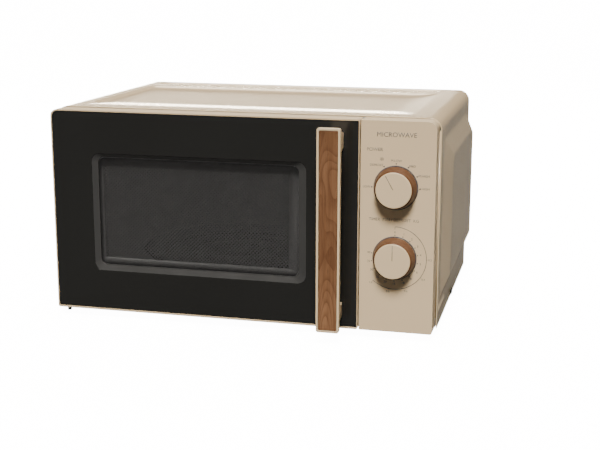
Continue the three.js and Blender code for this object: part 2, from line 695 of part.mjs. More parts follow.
const PLATE_Y = 13; // steel door plate
const LATCH_SLOTS = HOOKS_Z.map((z) => [z - 11, z + 14]);

function makeDoorPlates() {
  const edge = rounded(DOOR_LEFT + 14.5, ROOM_RIGHT - 0.5, 12.5, BODY_H - 12.5, 2.5, 3);
  const view = rectangle(SCREEN.x0 - 1, SCREEN.x1 + 1, SCREEN.z0 - 1, SCREEN.z1 + 1);
  const slots = LATCH_SLOTS.map(([z0, z1]) => rectangle(LATCH_X - 5, LATCH_X + 5, z0, z1));
  piece("door_plate", alongY(edge, PLATE_Y, PLATE_Y + 1, [view, ...slots]), "dark_steel");
  const sheet = rectangle(SCREEN.x0, SCREEN.x1, SCREEN.z0, SCREEN.z1);
  piece("door_screen", alongY(sheet, PLATE_Y, PLATE_Y + 0.8), "dark_steel");

  const clear = rounded(SCREEN.x0 - 4, SCREEN.x1 + 4, SCREEN.z0 - 4, SCREEN.z1 + 4, 3, 3);
  const choke = cut(
    alongY(edge, PLATE_Y + 1 + GAP, FRONT_T, [clear, ...slots]),
    ...chokeGrooves(),
  );
  piece("door_choke_cover", choke, "dark_plastic");
  const pane = rounded(SCREEN.x0 - 3.5, SCREEN.x1 + 3.5, SCREEN.z0 - 3.5, SCREEN.z1 + 3.5, 2.5, 3);
  piece("door_inner_pane", alongY(pane, PLATE_Y + 2, PLATE_Y + 3.6), "glass");
}

/** The shallow step round the choke cover's outer edge, on its back face. */
function chokeGrooves() {
  const outside = rounded(DOOR_LEFT + 10, ROOM_RIGHT + 4, 8, BODY_H - 8, 3, 3);
  const inside = rounded(DOOR_LEFT + 18, ROOM_RIGHT - 4, 16, BODY_H - 16, 3, 3);
  return [alongY(outside, FRONT_T - 1, FRONT_T + 1, [inside])];
}

/** The hook plate behind the door's face, with a hook that reaches back at each end. */
function makeLatch() {
  const w = 3;
  const [low, high] = HOOKS_Z;
  const bar = block(LATCH_X - w, LATCH_X + w, 8.3, 12.4, low - 10, high + 8);
  const hooks = HOOKS_Z.map((z) => alongX(
    polygon(
      [10, z - 4], [34, z - 4], [34, z - 9], [36.5, z - 9], [40.5, z - 3], [38.5, z + 4], [10, z + 4],
    ),
    LATCH_X - w, LATCH_X + w,
  ));
  piece("latch_hook", join(bar, ...hooks), "dark_plastic");
  piece("latch_spring", spring(LATCH_X, 10.3, SPRING.z0, SPRING.z1), "steel");
}

const SPRING = { z0: HOOKS_Z[1] + 8 + GAP, z1: BODY_H - 12 - 5 };

/** A helical spring round a vertical line, as one swept wire. */
function spring(x, y, z0, z1) {
  const turns = 5;
  const steps = turns * 8;
  const coilR = 2.2;
  const wireR = 0.4;
  const points = Array.from({ length: steps + 1 }, (_, i) => {
    const angle = (TURN * turns * i) / steps;
    const z = z0 + wireR + ((z1 - z0 - 2 * wireR) * i) / steps;
    return new THREE.Vector3(x + coilR * Math.cos(angle), y + coilR * Math.sin(angle), z);
  });
  const extrudePath = new THREE.CatmullRomCurve3(points);
  const section = new THREE.Shape(circle(0, 0, wireR, 5));
  return solid(new THREE.ExtrudeGeometry(section, { steps, extrudePath, bevelEnabled: false }));
}

// ---------- handle ----------
const HANDLE_X = (HANDLE.x0 + HANDLE.x1) / 2;
const LEGS_Z = [23, 215]; // screws in the two legs

function makeHandle() {
  const { x0, x1, z0, z1 } = HANDLE;
  const [front, back] = [-HANDLE_REACH, -HANDLE_REACH + HANDLE_T];
  const bar = alongY(rounded(x0, x1, z0, z1, 2.4, 3), front, back);
  const pocket = rounded(
    x0 + INLAY_EDGE, x1 - INLAY_EDGE, z0 + INLAY_EDGE, z1 - INLAY_EDGE, 1, 2,
  );
  const legs = [
    polygon([back - 1, z0 + 1], [back, z0 + 1], [-GAP, 15], [-GAP, 31], [back, 27], [back - 1, 27]),
    polygon([back - 1, 197], [back, 197], [-GAP, 207], [-GAP, 223], [back, z1 - 1], [back - 1, z1 - 1]),
  ].map((outline) => alongX(outline, HANDLE_X - 9, HANDLE_X + 9));
  const screwHoles = LEGS_Z.map((z) => alongY(circle(HANDLE_X, z, 2.3, 12), -12, 1));
  const made = cut(join(bar, ...legs), alongY(pocket, front - 1, front + INLAY_T), ...screwHoles);
  piece("handle_body", made, "cream");
  const strip = rounded(
    x0 + INLAY_EDGE + GAP, x1 - INLAY_EDGE - GAP, z0 + INLAY_EDGE + GAP, z1 - INLAY_EDGE - GAP, 0.8, 2,
  );
  piece("handle_wood_inlay", alongY(strip, front + 0.2, front + INLAY_T - GAP), "wood");
  for (const [name, z] of [["lower", LEGS_Z[0]], ["upper", LEGS_Z[1]]]) {
    screw(`handle_screw_${name}`, Y, [HANDLE_X, FACE_T + GAP, z], 3.8, 1.9, 14, "steel");
  }
}

/** A hinge bracket on the chassis: a plate that reaches forward to the pin, and a flange on the chassis. */
function makeHinges() {
  for (const [name, { plate, pinTo }] of Object.entries(HINGES)) {
    const y1 = CHASSIS_Y - GAP;
    const arm = join(
      block(HINGE_X - BRACKET_HALF, HINGE_X + BRACKET_HALF, HINGE_Y, y1, plate, plate + 2),
      alongZ(circle(HINGE_X, HINGE_Y, BRACKET_HALF, 20), plate, plate + 2),
    );
    const [low, high] = [Math.min(plate, pinTo), Math.max(plate + 1, pinTo)];
    const pin = turned([[0, low], [PIN_R, low], [PIN_R, high], [0, high]], Z, [HINGE_X, HINGE_Y, 0], 16);
    piece(`hinge_${name}`, join(arm, pin), "dark_steel");
  }
}

function makeDoor() {
  makeDoorFrame();
  makeDoorFace();
  makeDoorPlates();
  makeLatch();
  makeHandle();
  makeHinges();
}

makeCasing();
makeFrontPlate();
makeCavity();
makeTurntable();
makeWorks();
makeInterlocks();
makeControls();
makeDoor();

// The handle's front and the cord gland's back are the ends of the depth, and the origin is midway.
const GLAND_BACK = REAR_Y + 9;
const DEPTH_END = Math.max(BODY_D, GLAND_BACK);
body.position.set(0, (HANDLE_REACH - DEPTH_END) / 2, FOOT_H);

const group = new THREE.Group();
group.add(body);

export default group;
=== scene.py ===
"""The looks of a countertop microwave oven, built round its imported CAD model.

Shapes are written in millimetres in the body's own frame, as in the part's source: x = 0 is the middle,
y = 0 the front face of the door and z = 0 the underside of the body. put() turns them into the row frame.
"""
import json
import math

import bmesh
import bpy
import numpy as np
from mathutils import Matrix, Vector


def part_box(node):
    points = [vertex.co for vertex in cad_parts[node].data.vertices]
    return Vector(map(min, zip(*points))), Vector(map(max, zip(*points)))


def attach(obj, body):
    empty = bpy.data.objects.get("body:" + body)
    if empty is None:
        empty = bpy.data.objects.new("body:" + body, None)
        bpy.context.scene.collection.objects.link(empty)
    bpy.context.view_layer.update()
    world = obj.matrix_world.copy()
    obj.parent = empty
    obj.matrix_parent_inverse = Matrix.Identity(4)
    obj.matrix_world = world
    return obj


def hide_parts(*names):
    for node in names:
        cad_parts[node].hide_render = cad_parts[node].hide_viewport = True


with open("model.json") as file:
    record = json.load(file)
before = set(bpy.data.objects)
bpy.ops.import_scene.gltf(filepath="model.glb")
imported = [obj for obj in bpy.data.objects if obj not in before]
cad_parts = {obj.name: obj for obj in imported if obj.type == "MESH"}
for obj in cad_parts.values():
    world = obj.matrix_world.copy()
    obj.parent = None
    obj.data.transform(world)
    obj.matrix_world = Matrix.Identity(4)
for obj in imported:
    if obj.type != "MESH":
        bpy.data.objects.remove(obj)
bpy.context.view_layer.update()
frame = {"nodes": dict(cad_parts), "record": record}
MM = 0.001

# ---------- the body's frame ----------
PANEL_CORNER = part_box("control_panel")[0]
SHIFT = np.array((0.0, PANEL_CORNER.y, PANEL_CORNER.z))


def put(points):
    """Points in the body's frame, in millimetres, as points in the row frame, in metres."""
    return np.asarray(points, float).reshape(-1, 3) * MM + SHIFT


def span(node):
    """A CAD node's lowest and highest corners in the body's frame, in millimetres."""
    low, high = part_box(node)
    return (np.array(low) - SHIFT) / MM, (np.array(high) - SHIFT) / MM


# ---------- camera, light and floor ----------
CAMERA_PLACE = (0.3716, -1.3457, 0.4101)
CAMERA_YAW = 0.2351
CAMERA_PITCH = -0.2132
CAMERA_ROLL = 0.0035
LENS = 68.02
LENS_SHIFT_X = -0.01445
LENS_SHIFT_Y = -0.0222

WARM = (1.0, 0.965, 0.90)  # colour of the lamps
GLOW = (1.0, 0.88, 0.70)  # colour of the light that the surroundings give the object
PAPER = 20.0  # brightness of the background, as the camera sees it
FLOOR_GLOW = 14.0  # brightness of the floor, as the camera sees it
FLOOR_BOUNCE = 0.085  # share of the lamps' light that the floor gives back to the object
AMBIENT = 0.10  # light from all round on the object
BACKDROP = 34.0  # brightness of a low strip behind the object, which only its reflections show
BACKDROP_TOP = 0.054  # upper edge of the strip, as the sine of its angle above the horizon
BACKDROP_FADE = 0.02
BACKDROP_MIDDLE = -0.28  # middle of the strip, as the sine of its angle to the right
BACKDROP_HALF = 0.2


def make_camera():
    """A long lens at eye height, in front of the oven and to its right."""
    data = bpy.data.cameras.new("camera")
    data.lens = LENS
    data.sensor_width = 36
    data.shift_x = LENS_SHIFT_X
    data.shift_y = LENS_SHIFT_Y
    camera = bpy.data.objects.new("camera", data)
    bpy.context.scene.collection.objects.link(camera)
    level_part = math.cos(CAMERA_PITCH)
    ahead = Vector((
        -math.sin(CAMERA_YAW) * level_part,
        math.cos(CAMERA_YAW) * level_part,
        math.sin(CAMERA_PITCH),
    ))
    right = ahead.cross(Vector((0, 0, 1))).normalized()
    up = right.cross(ahead)
    axes = Matrix((
        math.cos(CAMERA_ROLL) * right + math.sin(CAMERA_ROLL) * up,
        math.cos(CAMERA_ROLL) * up - math.sin(CAMERA_ROLL) * right,
        -ahead,
    )).transposed()
    camera.matrix_world = Matrix.Translation(CAMERA_PLACE) @ axes.to_4x4()
    bpy.context.scene.camera = camera


def place_lamp(data, name, place, target):
    """Puts a lamp in the scene, aimed at the target."""
    lamp = bpy.data.objects.new(name, data)
    bpy.context.scene.collection.objects.link(lamp)
    lamp.location = place
    lamp.rotation_euler = (Vector(target) - Vector(place)).to_track_quat("-Z", "Y").to_euler()


def softbox(name, place, target, width, height, power):
    """A rectangular lamp, in metres and watts."""
    data = bpy.data.lights.new(name, "AREA")
    data.shape = "RECTANGLE"
    data.size = width
    data.size_y = height
    data.energy = power
    data.color = WARM
    place_lamp(data, name, place, target)


def far_lamp(name, direction, strength, spread):
    """A large soft lamp so far away that it lights the floor evenly. The spread is in degrees."""
    data = bpy.data.lights.new(name, "SUN")
    data.energy = strength
    data.angle = math.radians(spread)
    data.color = WARM
    place_lamp(data, name, direction, (0, 0, 0))


def seen_or_bounced(tree, seen, bounced, end):
    """Shows one shader to the camera and gives the other's light to the object."""
    ray = tree.nodes.new("ShaderNodeLightPath")
    mix = tree.nodes.new("ShaderNodeMixShader")
    tree.links.new(ray.outputs["Is Camera Ray"], mix.inputs[0])
    tree.links.new(bounced, mix.inputs[1])
    tree.links.new(seen, mix.inputs[2])
    tree.links.new(mix.outputs[0], end)


def make_world():
    """White paper all round for the camera. For the object: a dim glow, and a bright backdrop behind it."""
    world = bpy.data.worlds.new("studio")
    bpy.context.scene.world = world
    world.use_nodes = True
    tree = world.node_tree
    glow = tree.nodes["Background"]
    glow.inputs["Color"].default_value = (*GLOW, 1)
    place = tree.nodes.new("ShaderNodeTexCoord")
    parts = tree.nodes.new("ShaderNodeSeparateXYZ")
    tree.links.new(place.outputs["Generated"], parts.inputs[0])

    def ranged(value, low, high, to_low, to_high):
        made = tree.nodes.new("ShaderNodeMapRange")
        for setting, socket in zip((low, high, to_low, to_high), list(made.inputs)[1:5], strict=True):
            socket.default_value = setting
        tree.links.new(value, made.inputs[0])
        return made.outputs[0]

    def combined(operation, *values):
        made = tree.nodes.new("ShaderNodeMath")
        made.operation = operation
        for value, socket in zip(values, made.inputs, strict=False):
            if isinstance(value, bpy.types.NodeSocket):
                tree.links.new(value, socket)
            else:
                socket.default_value = value
        return made.outputs[0]

    low_down = ranged(parts.outputs["Z"], BACKDROP_TOP - BACKDROP_FADE, BACKDROP_TOP, 1, 0)
    across = combined("COMPARE", parts.outputs["X"], BACKDROP_MIDDLE, BACKDROP_HALF)
    behind = ranged(parts.outputs["Y"], 0.0, 0.1, 0, BACKDROP - AMBIENT)
    aimed = combined("MULTIPLY", across, behind)
    strength = combined("MULTIPLY_ADD", low_down, aimed, AMBIENT)
    tree.links.new(strength, glow.inputs["Strength"])
    paper = tree.nodes.new("ShaderNodeBackground")
    paper.inputs["Color"].default_value = (1, 1, 1, 1)
    paper.inputs["Strength"].default_value = PAPER
    seen_or_bounced(tree, paper.outputs[0], glow.outputs[0], tree.nodes["World Output"].inputs["Surface"])


def make_floor():
    """Pale paper that glows for the camera, as a lit studio sweep does."""
    reach = 40
    mesh = bpy.data.meshes.new("studio_floor")
    corners = [(-reach, -reach, 0), (reach, -reach, 0), (reach, reach, 0), (-reach, reach, 0)]
    mesh.from_pydata(corners, [], [(0, 1, 2, 3)])
    floor = bpy.data.objects.new("studio_floor", mesh)
    bpy.context.scene.collection.objects.link(floor)
    paint = bpy.data.materials.new("studio_floor")
    paint.use_nodes = True
    tree = paint.node_tree
    pale = tree.nodes["Principled BSDF"]
    pale.inputs["Base Color"].default_value = (0.93, 0.93, 0.93, 1)
    pale.inputs["Roughness"].default_value = 0.9
    pale.inputs["Specular IOR Level"].default_value = 0.0
    pale.inputs["Emission Color"].default_value = (1, 1, 1, 1)
    pale.inputs["Emission Strength"].default_value = FLOOR_GLOW
    dim = tree.nodes.new("ShaderNodeBsdfDiffuse")
    dim.inputs["Color"].default_value = (*[FLOOR_BOUNCE] * 3, 1)
    seen_or_bounced(tree, pale.outputs[0], dim.outputs[0], tree.nodes["Material Output"].inputs["Surface"])
    mesh.materials.append(paint)


def make_studio():
    """The key from the front and above, a little light from the right, and a softbox behind and above."""
    make_world()
    make_floor()
    far_lamp("key", (0.08, -0.6, 0.79), 7.2, 18)
    far_lamp("right", (0.62, 0.1, 0.78), 0.9, 30)
    softbox("back_top", (-0.4, 1.5, 1.65), (0, 0.05, 0.24), 2.0, 0.5, 32)


make_camera()
make_studio()


# ---------- materials ----------
SOCKETS = {
    "alpha": "Alpha",
    "ior": "IOR",
    "transmission": "Transmission Weight",
    "specular_ior_level": "Specular IOR Level",
}


class Look:
    """A procedural material while its nodes are made. Noise is measured in the row frame's metres."""

    def __init__(self, name, color, roughness, metallic=0.0, **sockets):
        self.material = bpy.data.materials.new(name)
        self.material.use_nodes = True
        self.tree = self.material.node_tree
        self.shader = self.tree.nodes["Principled BSDF"]
        self.shader.inputs["Base Color"].default_value = (*color, 1)
        self.shader.inputs["Roughness"].default_value = roughness
        self.shader.inputs["Metallic"].default_value = metallic
        for socket, value in sockets.items():
            self.shader.inputs[SOCKETS[socket]].default_value = value
        self.place = self.node("ShaderNodeTexCoord").outputs["Object"]

    def node(self, kind, **settings):
        """A new shader node with some of its settings."""
        made = self.tree.nodes.new(kind)
        for key, value in settings.items():
            setattr(made, key, value)
        return made

    def join(self, value, socket):
        """Sets a socket to a number or a colour, or links an output to it."""
        if isinstance(value, bpy.types.NodeSocket):
            self.tree.links.new(value, socket)
        else:
            socket.default_value = value

    def stretched(self, scale):
        """Object coordinates, scaled by axis."""
        mapping = self.node("ShaderNodeMapping")
        self.join(self.place, mapping.inputs["Vector"])
        mapping.inputs["Scale"].default_value = scale
        return mapping.outputs["Vector"]

    def noise(self, scale, detail, stretch=None, rough=0.5, warp=0.0):
        """Cloudy noise from 0 to 1, stretched by axis when asked."""
        made = self.node("ShaderNodeTexNoise")
        self.join(self.stretched(stretch) if stretch else self.place, made.inputs["Vector"])
        made.inputs["Scale"].default_value = scale
        made.inputs["Detail"].default_value = detail
        made.inputs["Roughness"].default_value = rough
        made.inputs["Distortion"].default_value = warp
        return made.outputs["Fac"]

    def cells(self, scale, output="Distance"):
        """Irregular cells: the distance to the middle of each, or a colour of its own."""
        made = self.node("ShaderNodeTexVoronoi")
        self.join(self.place, made.inputs["Vector"])
        made.inputs["Scale"].default_value = scale
        return made.outputs[output]

    def math(self, operation, a, b=0.0):
        """One operation on one or two values."""
        made = self.node("ShaderNodeMath", operation=operation)
        for value, socket in zip((a, b), made.inputs, strict=False):
            self.join(value, socket)
        return made.outputs[0]

    def ranged(self, value, low, high, to_low, to_high):
        """A value from low..high moved to to_low..to_high and clamped there."""
        made = self.node("ShaderNodeMapRange")
        for value_in, socket in zip((value, low, high, to_low, to_high), made.inputs, strict=False):
            self.join(value_in, socket)
        return made.outputs[0]

    def blend(self, amount, a, b):
        """A colour between a and b."""
        made = self.node("ShaderNodeMix", data_type="RGBA")
        self.join(amount, made.inputs["Factor"])
        for value, socket in ((a, made.inputs[6]), (b, made.inputs[7])):
            self.join(value if isinstance(value, bpy.types.NodeSocket) else (*value, 1), socket)
        return made.outputs[2]

    def color(self, value):
        self.join(value, self.shader.inputs["Base Color"])

    def roughness(self, value):
        self.join(value, self.shader.inputs["Roughness"])

    def uneven(self, scale, detail, low, high):
        """Roughness that wanders between low and high."""
        self.roughness(self.ranged(self.noise(scale, detail), 0.3, 0.7, low, high))

    def bump(self, *layers):
        """Relief from (height output, depth in millimetres) layers."""
        normal = None
        for height, depth in layers:
            made = self.node("ShaderNodeBump")
            made.inputs["Strength"].default_value = 1.0
            made.inputs["Distance"].default_value = depth * MM
            self.join(height, made.inputs["Height"])
            if normal:
                self.join(normal, made.inputs["Normal"])
            normal = made.outputs["Normal"]
        self.join(normal, self.shader.inputs["Normal"])


def shade(color, factor):
    """A colour made lighter or darker."""
    return tuple(c * factor for c in color)


CREAM = (0.60, 0.46, 0.29)


def powder_coat():
    """Half-gloss cream powder coat with a fine orange peel."""
    look = Look("cream_powder_coat", CREAM, 0.16)
    tone = look.ranged(look.noise(7, 4), 0.3, 0.7, 0, 1)
    grain = look.ranged(look.noise(1900, 2), 0.35, 0.65, 0, 0.35)
    coat = look.blend(tone, shade(CREAM, 0.975), shade(CREAM, 1.02))
    look.color(look.blend(grain, coat, shade(CREAM, 0.9)))
    look.uneven(420, 3, 0.14, 0.2)
    look.bump((look.noise(900, 2), 0.004), (look.noise(2600, 1), 0.0015))
    return look.material


def cream_plastic():
    """Satin cream plastic of the panel, the door frame and the knobs."""
    look = Look("cream_moulding", CREAM, 0.38)
    tone = look.ranged(look.noise(5, 3), 0.3, 0.7, 0, 1)
    look.color(look.blend(tone, shade(CREAM, 0.98), shade(CREAM, 1.02)))
    look.uneven(600, 3, 0.33, 0.43)
    look.bump((look.noise(3200, 2), 0.01), (look.noise(60, 1), 0.01))
    return look.material


def black_gloss():
    """Black front with a thin film of wipe marks and dust."""
    look = Look("black_gloss_panel", (0.012, 0.012, 0.0115), 0.12, specular_ior_level=0.35)
    dust = look.ranged(look.cells(900), 0.0, 0.16, 1, 0)
    look.color(look.blend(look.noise(9, 4), (0.0108, 0.0108, 0.0103), (0.0138, 0.0138, 0.0133)))
    film = look.ranged(look.noise(14, 5), 0.3, 0.75, 0.1, 0.17)
    look.roughness(look.math("ADD", film, look.math("MULTIPLY", dust, 0.12)))
    look.bump((look.noise(11, 1), 0.03))
    return look.material


def window_frame():
    """Black gloss of the sloping sides around the pane, made three times lighter: painted reflection."""
    look = Look("window_frame", (0.036, 0.036, 0.036), 0.2)
    look.color(look.blend(look.noise(30, 3), (0.033, 0.033, 0.033), (0.039, 0.039, 0.039)))
    look.uneven(60, 4, 0.17, 0.24)
    look.bump((look.noise(40, 1), 0.01))
    return look.material


def smoked_pane():
    """Dark pane that lets about half of the light through."""
    look = Look("smoked_pane", (0.015, 0.015, 0.016), 0.08, alpha=0.45)
    look.color(look.blend(look.noise(12, 3), (0.013, 0.013, 0.014), (0.019, 0.019, 0.02)))
    look.uneven(18, 4, 0.06, 0.12)
    look.bump((look.noise(9, 1), 0.02))
    return look.material


def wood(name, depth):
    """Brown plank with upright grain: growth rings, fine fibres and open pores. Depth pulls the colour
    towards near black, painted shade for the knob rings.
    """
    look = Look(name, (0.16, 0.07, 0.03), 0.45, specular_ior_level=0.3)
    drift = look.noise(1.0, 2, stretch=(22, 22, 7))
    field = look.noise(1.0, 1.0, stretch=(34, 22, 7.5), warp=0.4)
    bands = look.math("FRACT", look.math("MULTIPLY", field, 15))
    line = look.math("POWER", bands, 3.0)
    fibres = look.noise(1.0, 6, stretch=(1500, 1500, 34), rough=0.6)
    streaks = look.noise(1.0, 4, stretch=(420, 420, 13), rough=0.55)
    pores = look.ranged(look.noise(1.0, 2, stretch=(2300, 2300, 110)), 0.62, 0.72, 0, 1)
    drift = look.ranged(drift, 0.35, 0.65, 0, 1)
    base = look.blend(drift, (0.125, 0.058, 0.026), (0.215, 0.110, 0.055))
    base = look.blend(look.math("MULTIPLY", line, 0.7), base, (0.066, 0.024, 0.009))
    base = look.blend(look.ranged(streaks, 0.42, 0.72, 0, 0.5), base, (0.075, 0.028, 0.010))
    base = look.blend(look.ranged(fibres, 0.45, 0.7, 0, 0.4), base, (0.23, 0.105, 0.045))
    # Painted shade: depth pulls the whole colour towards near black.
    base = look.blend(depth, base, (0.06, 0.018, 0.004))
    look.color(look.blend(look.math("MULTIPLY", pores, 0.5), base, (0.035, 0.012, 0.005)))
    look.roughness(look.ranged(fibres, 0.3, 0.7, 0.38, 0.55))
    look.bump((fibres, 0.03), (look.math("SUBTRACT", 1.0, pores), 0.04))
    return look.material


def zinc_steel():
    """Galvanised sheet with flat crystals, each of its own grey."""
    look = Look("galvanised_steel", (0.55, 0.56, 0.57), 0.4, 0.9)
    spangle = look.cells(95, output="Color")
    flake = look.node("ShaderNodeSeparateColor")
    look.join(spangle, flake.inputs[0])
    look.color(look.blend(flake.outputs[0], (0.47, 0.48, 0.49), (0.62, 0.63, 0.64)))
    look.roughness(look.ranged(flake.outputs[1], 0, 1, 0.34, 0.5))
    look.bump((look.noise(1300, 3), 0.01), (look.noise(30, 2), 0.05))
    return look.material


def brushed(name, color, roughness, stretch):
    """Rolled or drawn metal with fine lines along one axis."""
    look = Look(name, color, roughness, 0.85)
    lines = look.noise(1.0, 4, stretch=stretch, rough=0.65)
    look.color(look.blend(lines, shade(color, 0.82), shade(color, 1.18)))
    look.roughness(look.ranged(lines, 0.3, 0.7, roughness - 0.08, roughness + 0.1))
    look.bump((lines, 0.012))
    return look.material


def screen_paint():
    """Mottled grey paint of the perforated screen, which looks darker behind the pane."""
    look = Look("screen_paint", (0.36, 0.36, 0.365), 0.45, 0.2)
    look.color(look.blend(look.noise(600, 3), (0.31, 0.31, 0.315), (0.42, 0.42, 0.425)))
    look.uneven(900, 2, 0.38, 0.55)
    look.bump((look.noise(2400, 2), 0.008))
    return look.material


def enamel():
    """Grey-white oven enamel with sparse dark specks."""
    base = (0.56, 0.56, 0.54)
    look = Look("cavity_enamel", base, 0.32)
    specks = look.ranged(look.cells(520), 0.10, 0.2, 1, 0)
    chosen = look.math("GREATER_THAN", look.noise(420, 1), 0.56)
    mottled = look.blend(look.noise(26, 4), shade(base, 0.95), shade(base, 1.04))
    look.color(look.blend(look.math("MULTIPLY", specks, chosen), mottled, (0.16, 0.16, 0.155)))
    look.uneven(300, 3, 0.25, 0.38)
    look.bump((look.noise(520, 2), 0.02))
    return look.material


def moulded(name, color, roughness, grain=2600, depth=0.03):
    """Moulded plastic with an eroded texture."""
    look = Look(name, color, roughness)
    look.color(look.blend(look.noise(40, 4), shade(color, 0.93), shade(color, 1.07)))
    look.uneven(grain * 0.4, 3, roughness - 0.05, roughness + 0.08)
    look.bump((look.noise(grain, 2), depth))
    return look.material


def rubber():
    """Dull rubber of the feet."""
    look = Look("foot_rubber", (0.018, 0.018, 0.018), 0.82)
    look.color(look.blend(look.noise(150, 4), (0.014, 0.014, 0.014), (0.028, 0.027, 0.026)))
    look.uneven(500, 3, 0.74, 0.9)
    look.bump((look.noise(1800, 3), 0.04))
    return look.material


def winding():
    """Layers of varnished wire, wound level round an upright core."""
    look = Look("copper_winding", (0.42, 0.15, 0.055), 0.35, 0.7)
    wires = look.node("ShaderNodeTexWave", wave_type="BANDS", bands_direction="Z", wave_profile="SIN")
    look.join(look.place, wires.inputs["Vector"])
    wires.inputs["Scale"].default_value = 260
    wires.inputs["Distortion"].default_value = 0.3
    # The colour follows the wire bands and is darkened in the grooves between turns: painted shade.
    look.color(look.blend(wires.outputs["Fac"], (0.16, 0.05, 0.02), (0.55, 0.21, 0.08)))
    look.uneven(300, 3, 0.28, 0.45)
    look.bump((wires.outputs["Fac"], 0.3))
    return look.material


def mica():
    """Pressed mica, in flakes that shine differently."""
    look = Look("mica_sheet", (0.42, 0.37, 0.28), 0.55)
    flakes = look.cells(260, output="Color")
    parts = look.node("ShaderNodeSeparateColor")
    look.join(flakes, parts.inputs[0])
    look.color(look.blend(parts.outputs[0], (0.36, 0.31, 0.22), (0.5, 0.45, 0.34)))
    look.roughness(look.ranged(parts.outputs[1], 0, 1, 0.35, 0.65))
    look.bump((look.noise(700, 3), 0.03))
    return look.material


def laminate():
    """Green circuit board with its glass weave."""
    look = Look("circuit_laminate", (0.045, 0.13, 0.06), 0.45)
    weave = look.cells(700)
    look.color(look.blend(weave, (0.035, 0.11, 0.05), (0.06, 0.16, 0.08)))
    look.uneven(400, 2, 0.35, 0.5)
    look.bump((weave, 0.02))
    return look.material


def clear_glass():
    """Glass whose shadow lets the light through, as thin glass does."""
    look = Look("clear_glass", (0.93, 0.97, 0.96), 0.03, transmission=1.0, ior=1.45)
    look.uneven(30, 3, 0.01, 0.05)
    look.bump((look.noise(40, 2), 0.02))
    through = look.node("ShaderNodeBsdfTransparent")
    through.inputs["Color"].default_value = (0.86, 0.9, 0.89, 1)
    ray = look.node("ShaderNodeLightPath")
    mix = look.node("ShaderNodeMixShader")
    look.join(ray.outputs["Is Shadow Ray"], mix.inputs[0])
    look.join(look.shader.outputs[0], mix.inputs[1])
    look.join(through.outputs[0], mix.inputs[2])
    look.join(mix.outputs[0], look.tree.nodes["Material Output"].inputs["Surface"])
    return look.material


def ink():
    """Grey-black printing ink, also used for the painted shadow round the knobs."""
    look = Look("panel_ink", (0.10, 0.10, 0.11), 0.55)
    look.color(look.blend(look.noise(900, 3), (0.06, 0.06, 0.068), (0.10, 0.10, 0.11)))
    look.uneven(700, 2, 0.5, 0.62)
    look.bump((look.noise(2500, 2), 0.004))
    return look.material


LOOKS = {
    "cream_paint": powder_coat(),
    "cream_plastic": cream_plastic(),
    "black_gloss": black_gloss(),
    "smoked_pane": smoked_pane(),
    "clear_pane": clear_glass(),
    "wood_trim": wood("oiled_walnut", 0.0),
    "zinc_steel": zinc_steel(),
    "dark_steel": brushed("dull_grey_steel", (0.2, 0.2, 0.205), 0.45, (40, 900, 900)),
    "capacitor_can": brushed("drawn_aluminium", (0.55, 0.56, 0.57), 0.35, (900, 40, 900)),
    "cavity_enamel": enamel(),
    "black_plastic": moulded("black_plastic", (0.022, 0.022, 0.023), 0.5),
    "black_screw": moulded("black_screw_paint", (0.02, 0.02, 0.02), 0.16, 1500, 0.01),
    "white_plastic": moulded("white_plastic", (0.72, 0.70, 0.65), 0.42, 1800, 0.012),
    "foot_rubber": rubber(),
    "copper_winding": winding(),
    "mica_sheet": mica(),
    "circuit_board": laminate(),
}
SCREEN_PAINT = screen_paint()
# The knob rings take a darker copy of the wood: painted shade.
RING_WOOD_SHADED = wood("ring_walnut_painted_shade", 0.6)
SLOPE_GLOSS_PAINTED_REFLECTION = window_frame()
INK_FOR_PRINT_AND_SHADE = ink()


# ---------- mesh helpers ----------
def arc_points(cx, cy, r, start, stop, steps):
    """Points on an arc, angles in degrees."""
    angles = np.radians(np.linspace(start, stop, steps + 1))
    return [(cx + r * math.cos(a), cy + r * math.sin(a)) for a in angles]


def rounded(x0, x1, z0, z1, radii, steps):
    """A rectangle with round corners: one radius, or low left, low right, top right, top left."""
    r0, r1, r2, r3 = radii if isinstance(radii, (list, tuple)) else [radii] * 4
    return [
        *arc_points(x0 + r0, z0 + r0, r0, 180, 270, steps),
        *arc_points(x1 - r1, z0 + r1, r1, 270, 360, steps),
        *arc_points(x1 - r2, z1 - r2, r2, 0, 90, steps),
        *arc_points(x0 + r3, z1 - r3, r3, 90, 180, steps),
    ]


def level(outline, y):
    """An outline in (x, z), stood up at depth y."""
    return [(x, y, z) for x, z in outline]


def bridged(loops, closed=False):
    """Points and faces between loops of equal length, joined end to end or else capped."""
    count = len(loops[0])
    points = [p for loop in loops for p in loop]
    faces = []
    for i in range(len(loops) if closed else len(loops) - 1):
        a, b = i * count, (i + 1) % len(loops) * count
        for k in range(count):
            m = (k + 1) % count
            faces.append((a + k, a + m, b + m, b + k))
    if not closed:
        faces.append(tuple(range(count)))
        faces.append(tuple(range(len(points) - count, len(points))))
    return points, faces


def lathe(profile, centre, axis, steps):
    """A closed (radius, height) profile, turned round an axis through centre."""
    turn = Vector((0, 0, 1)).rotation_difference(Vector(axis)).to_matrix()
    loops = []
    for r, h in profile:
        ring = []
        for a in np.linspace(0, math.tau, steps, endpoint=False):
            ring.append(tuple(Vector(centre) + turn @ Vector((r * math.cos(a), r * math.sin(a), h))))
        loops.append(ring)
    return bridged(loops, closed=True)


def merged(*parts):
    """Several (points, faces) as one."""
    points, faces = [], []
    for part_points, part_faces in parts:
        start = len(points)
        points.extend(part_points)
        faces.extend(tuple(i + start for i in face) for face in part_faces)
    return points, faces


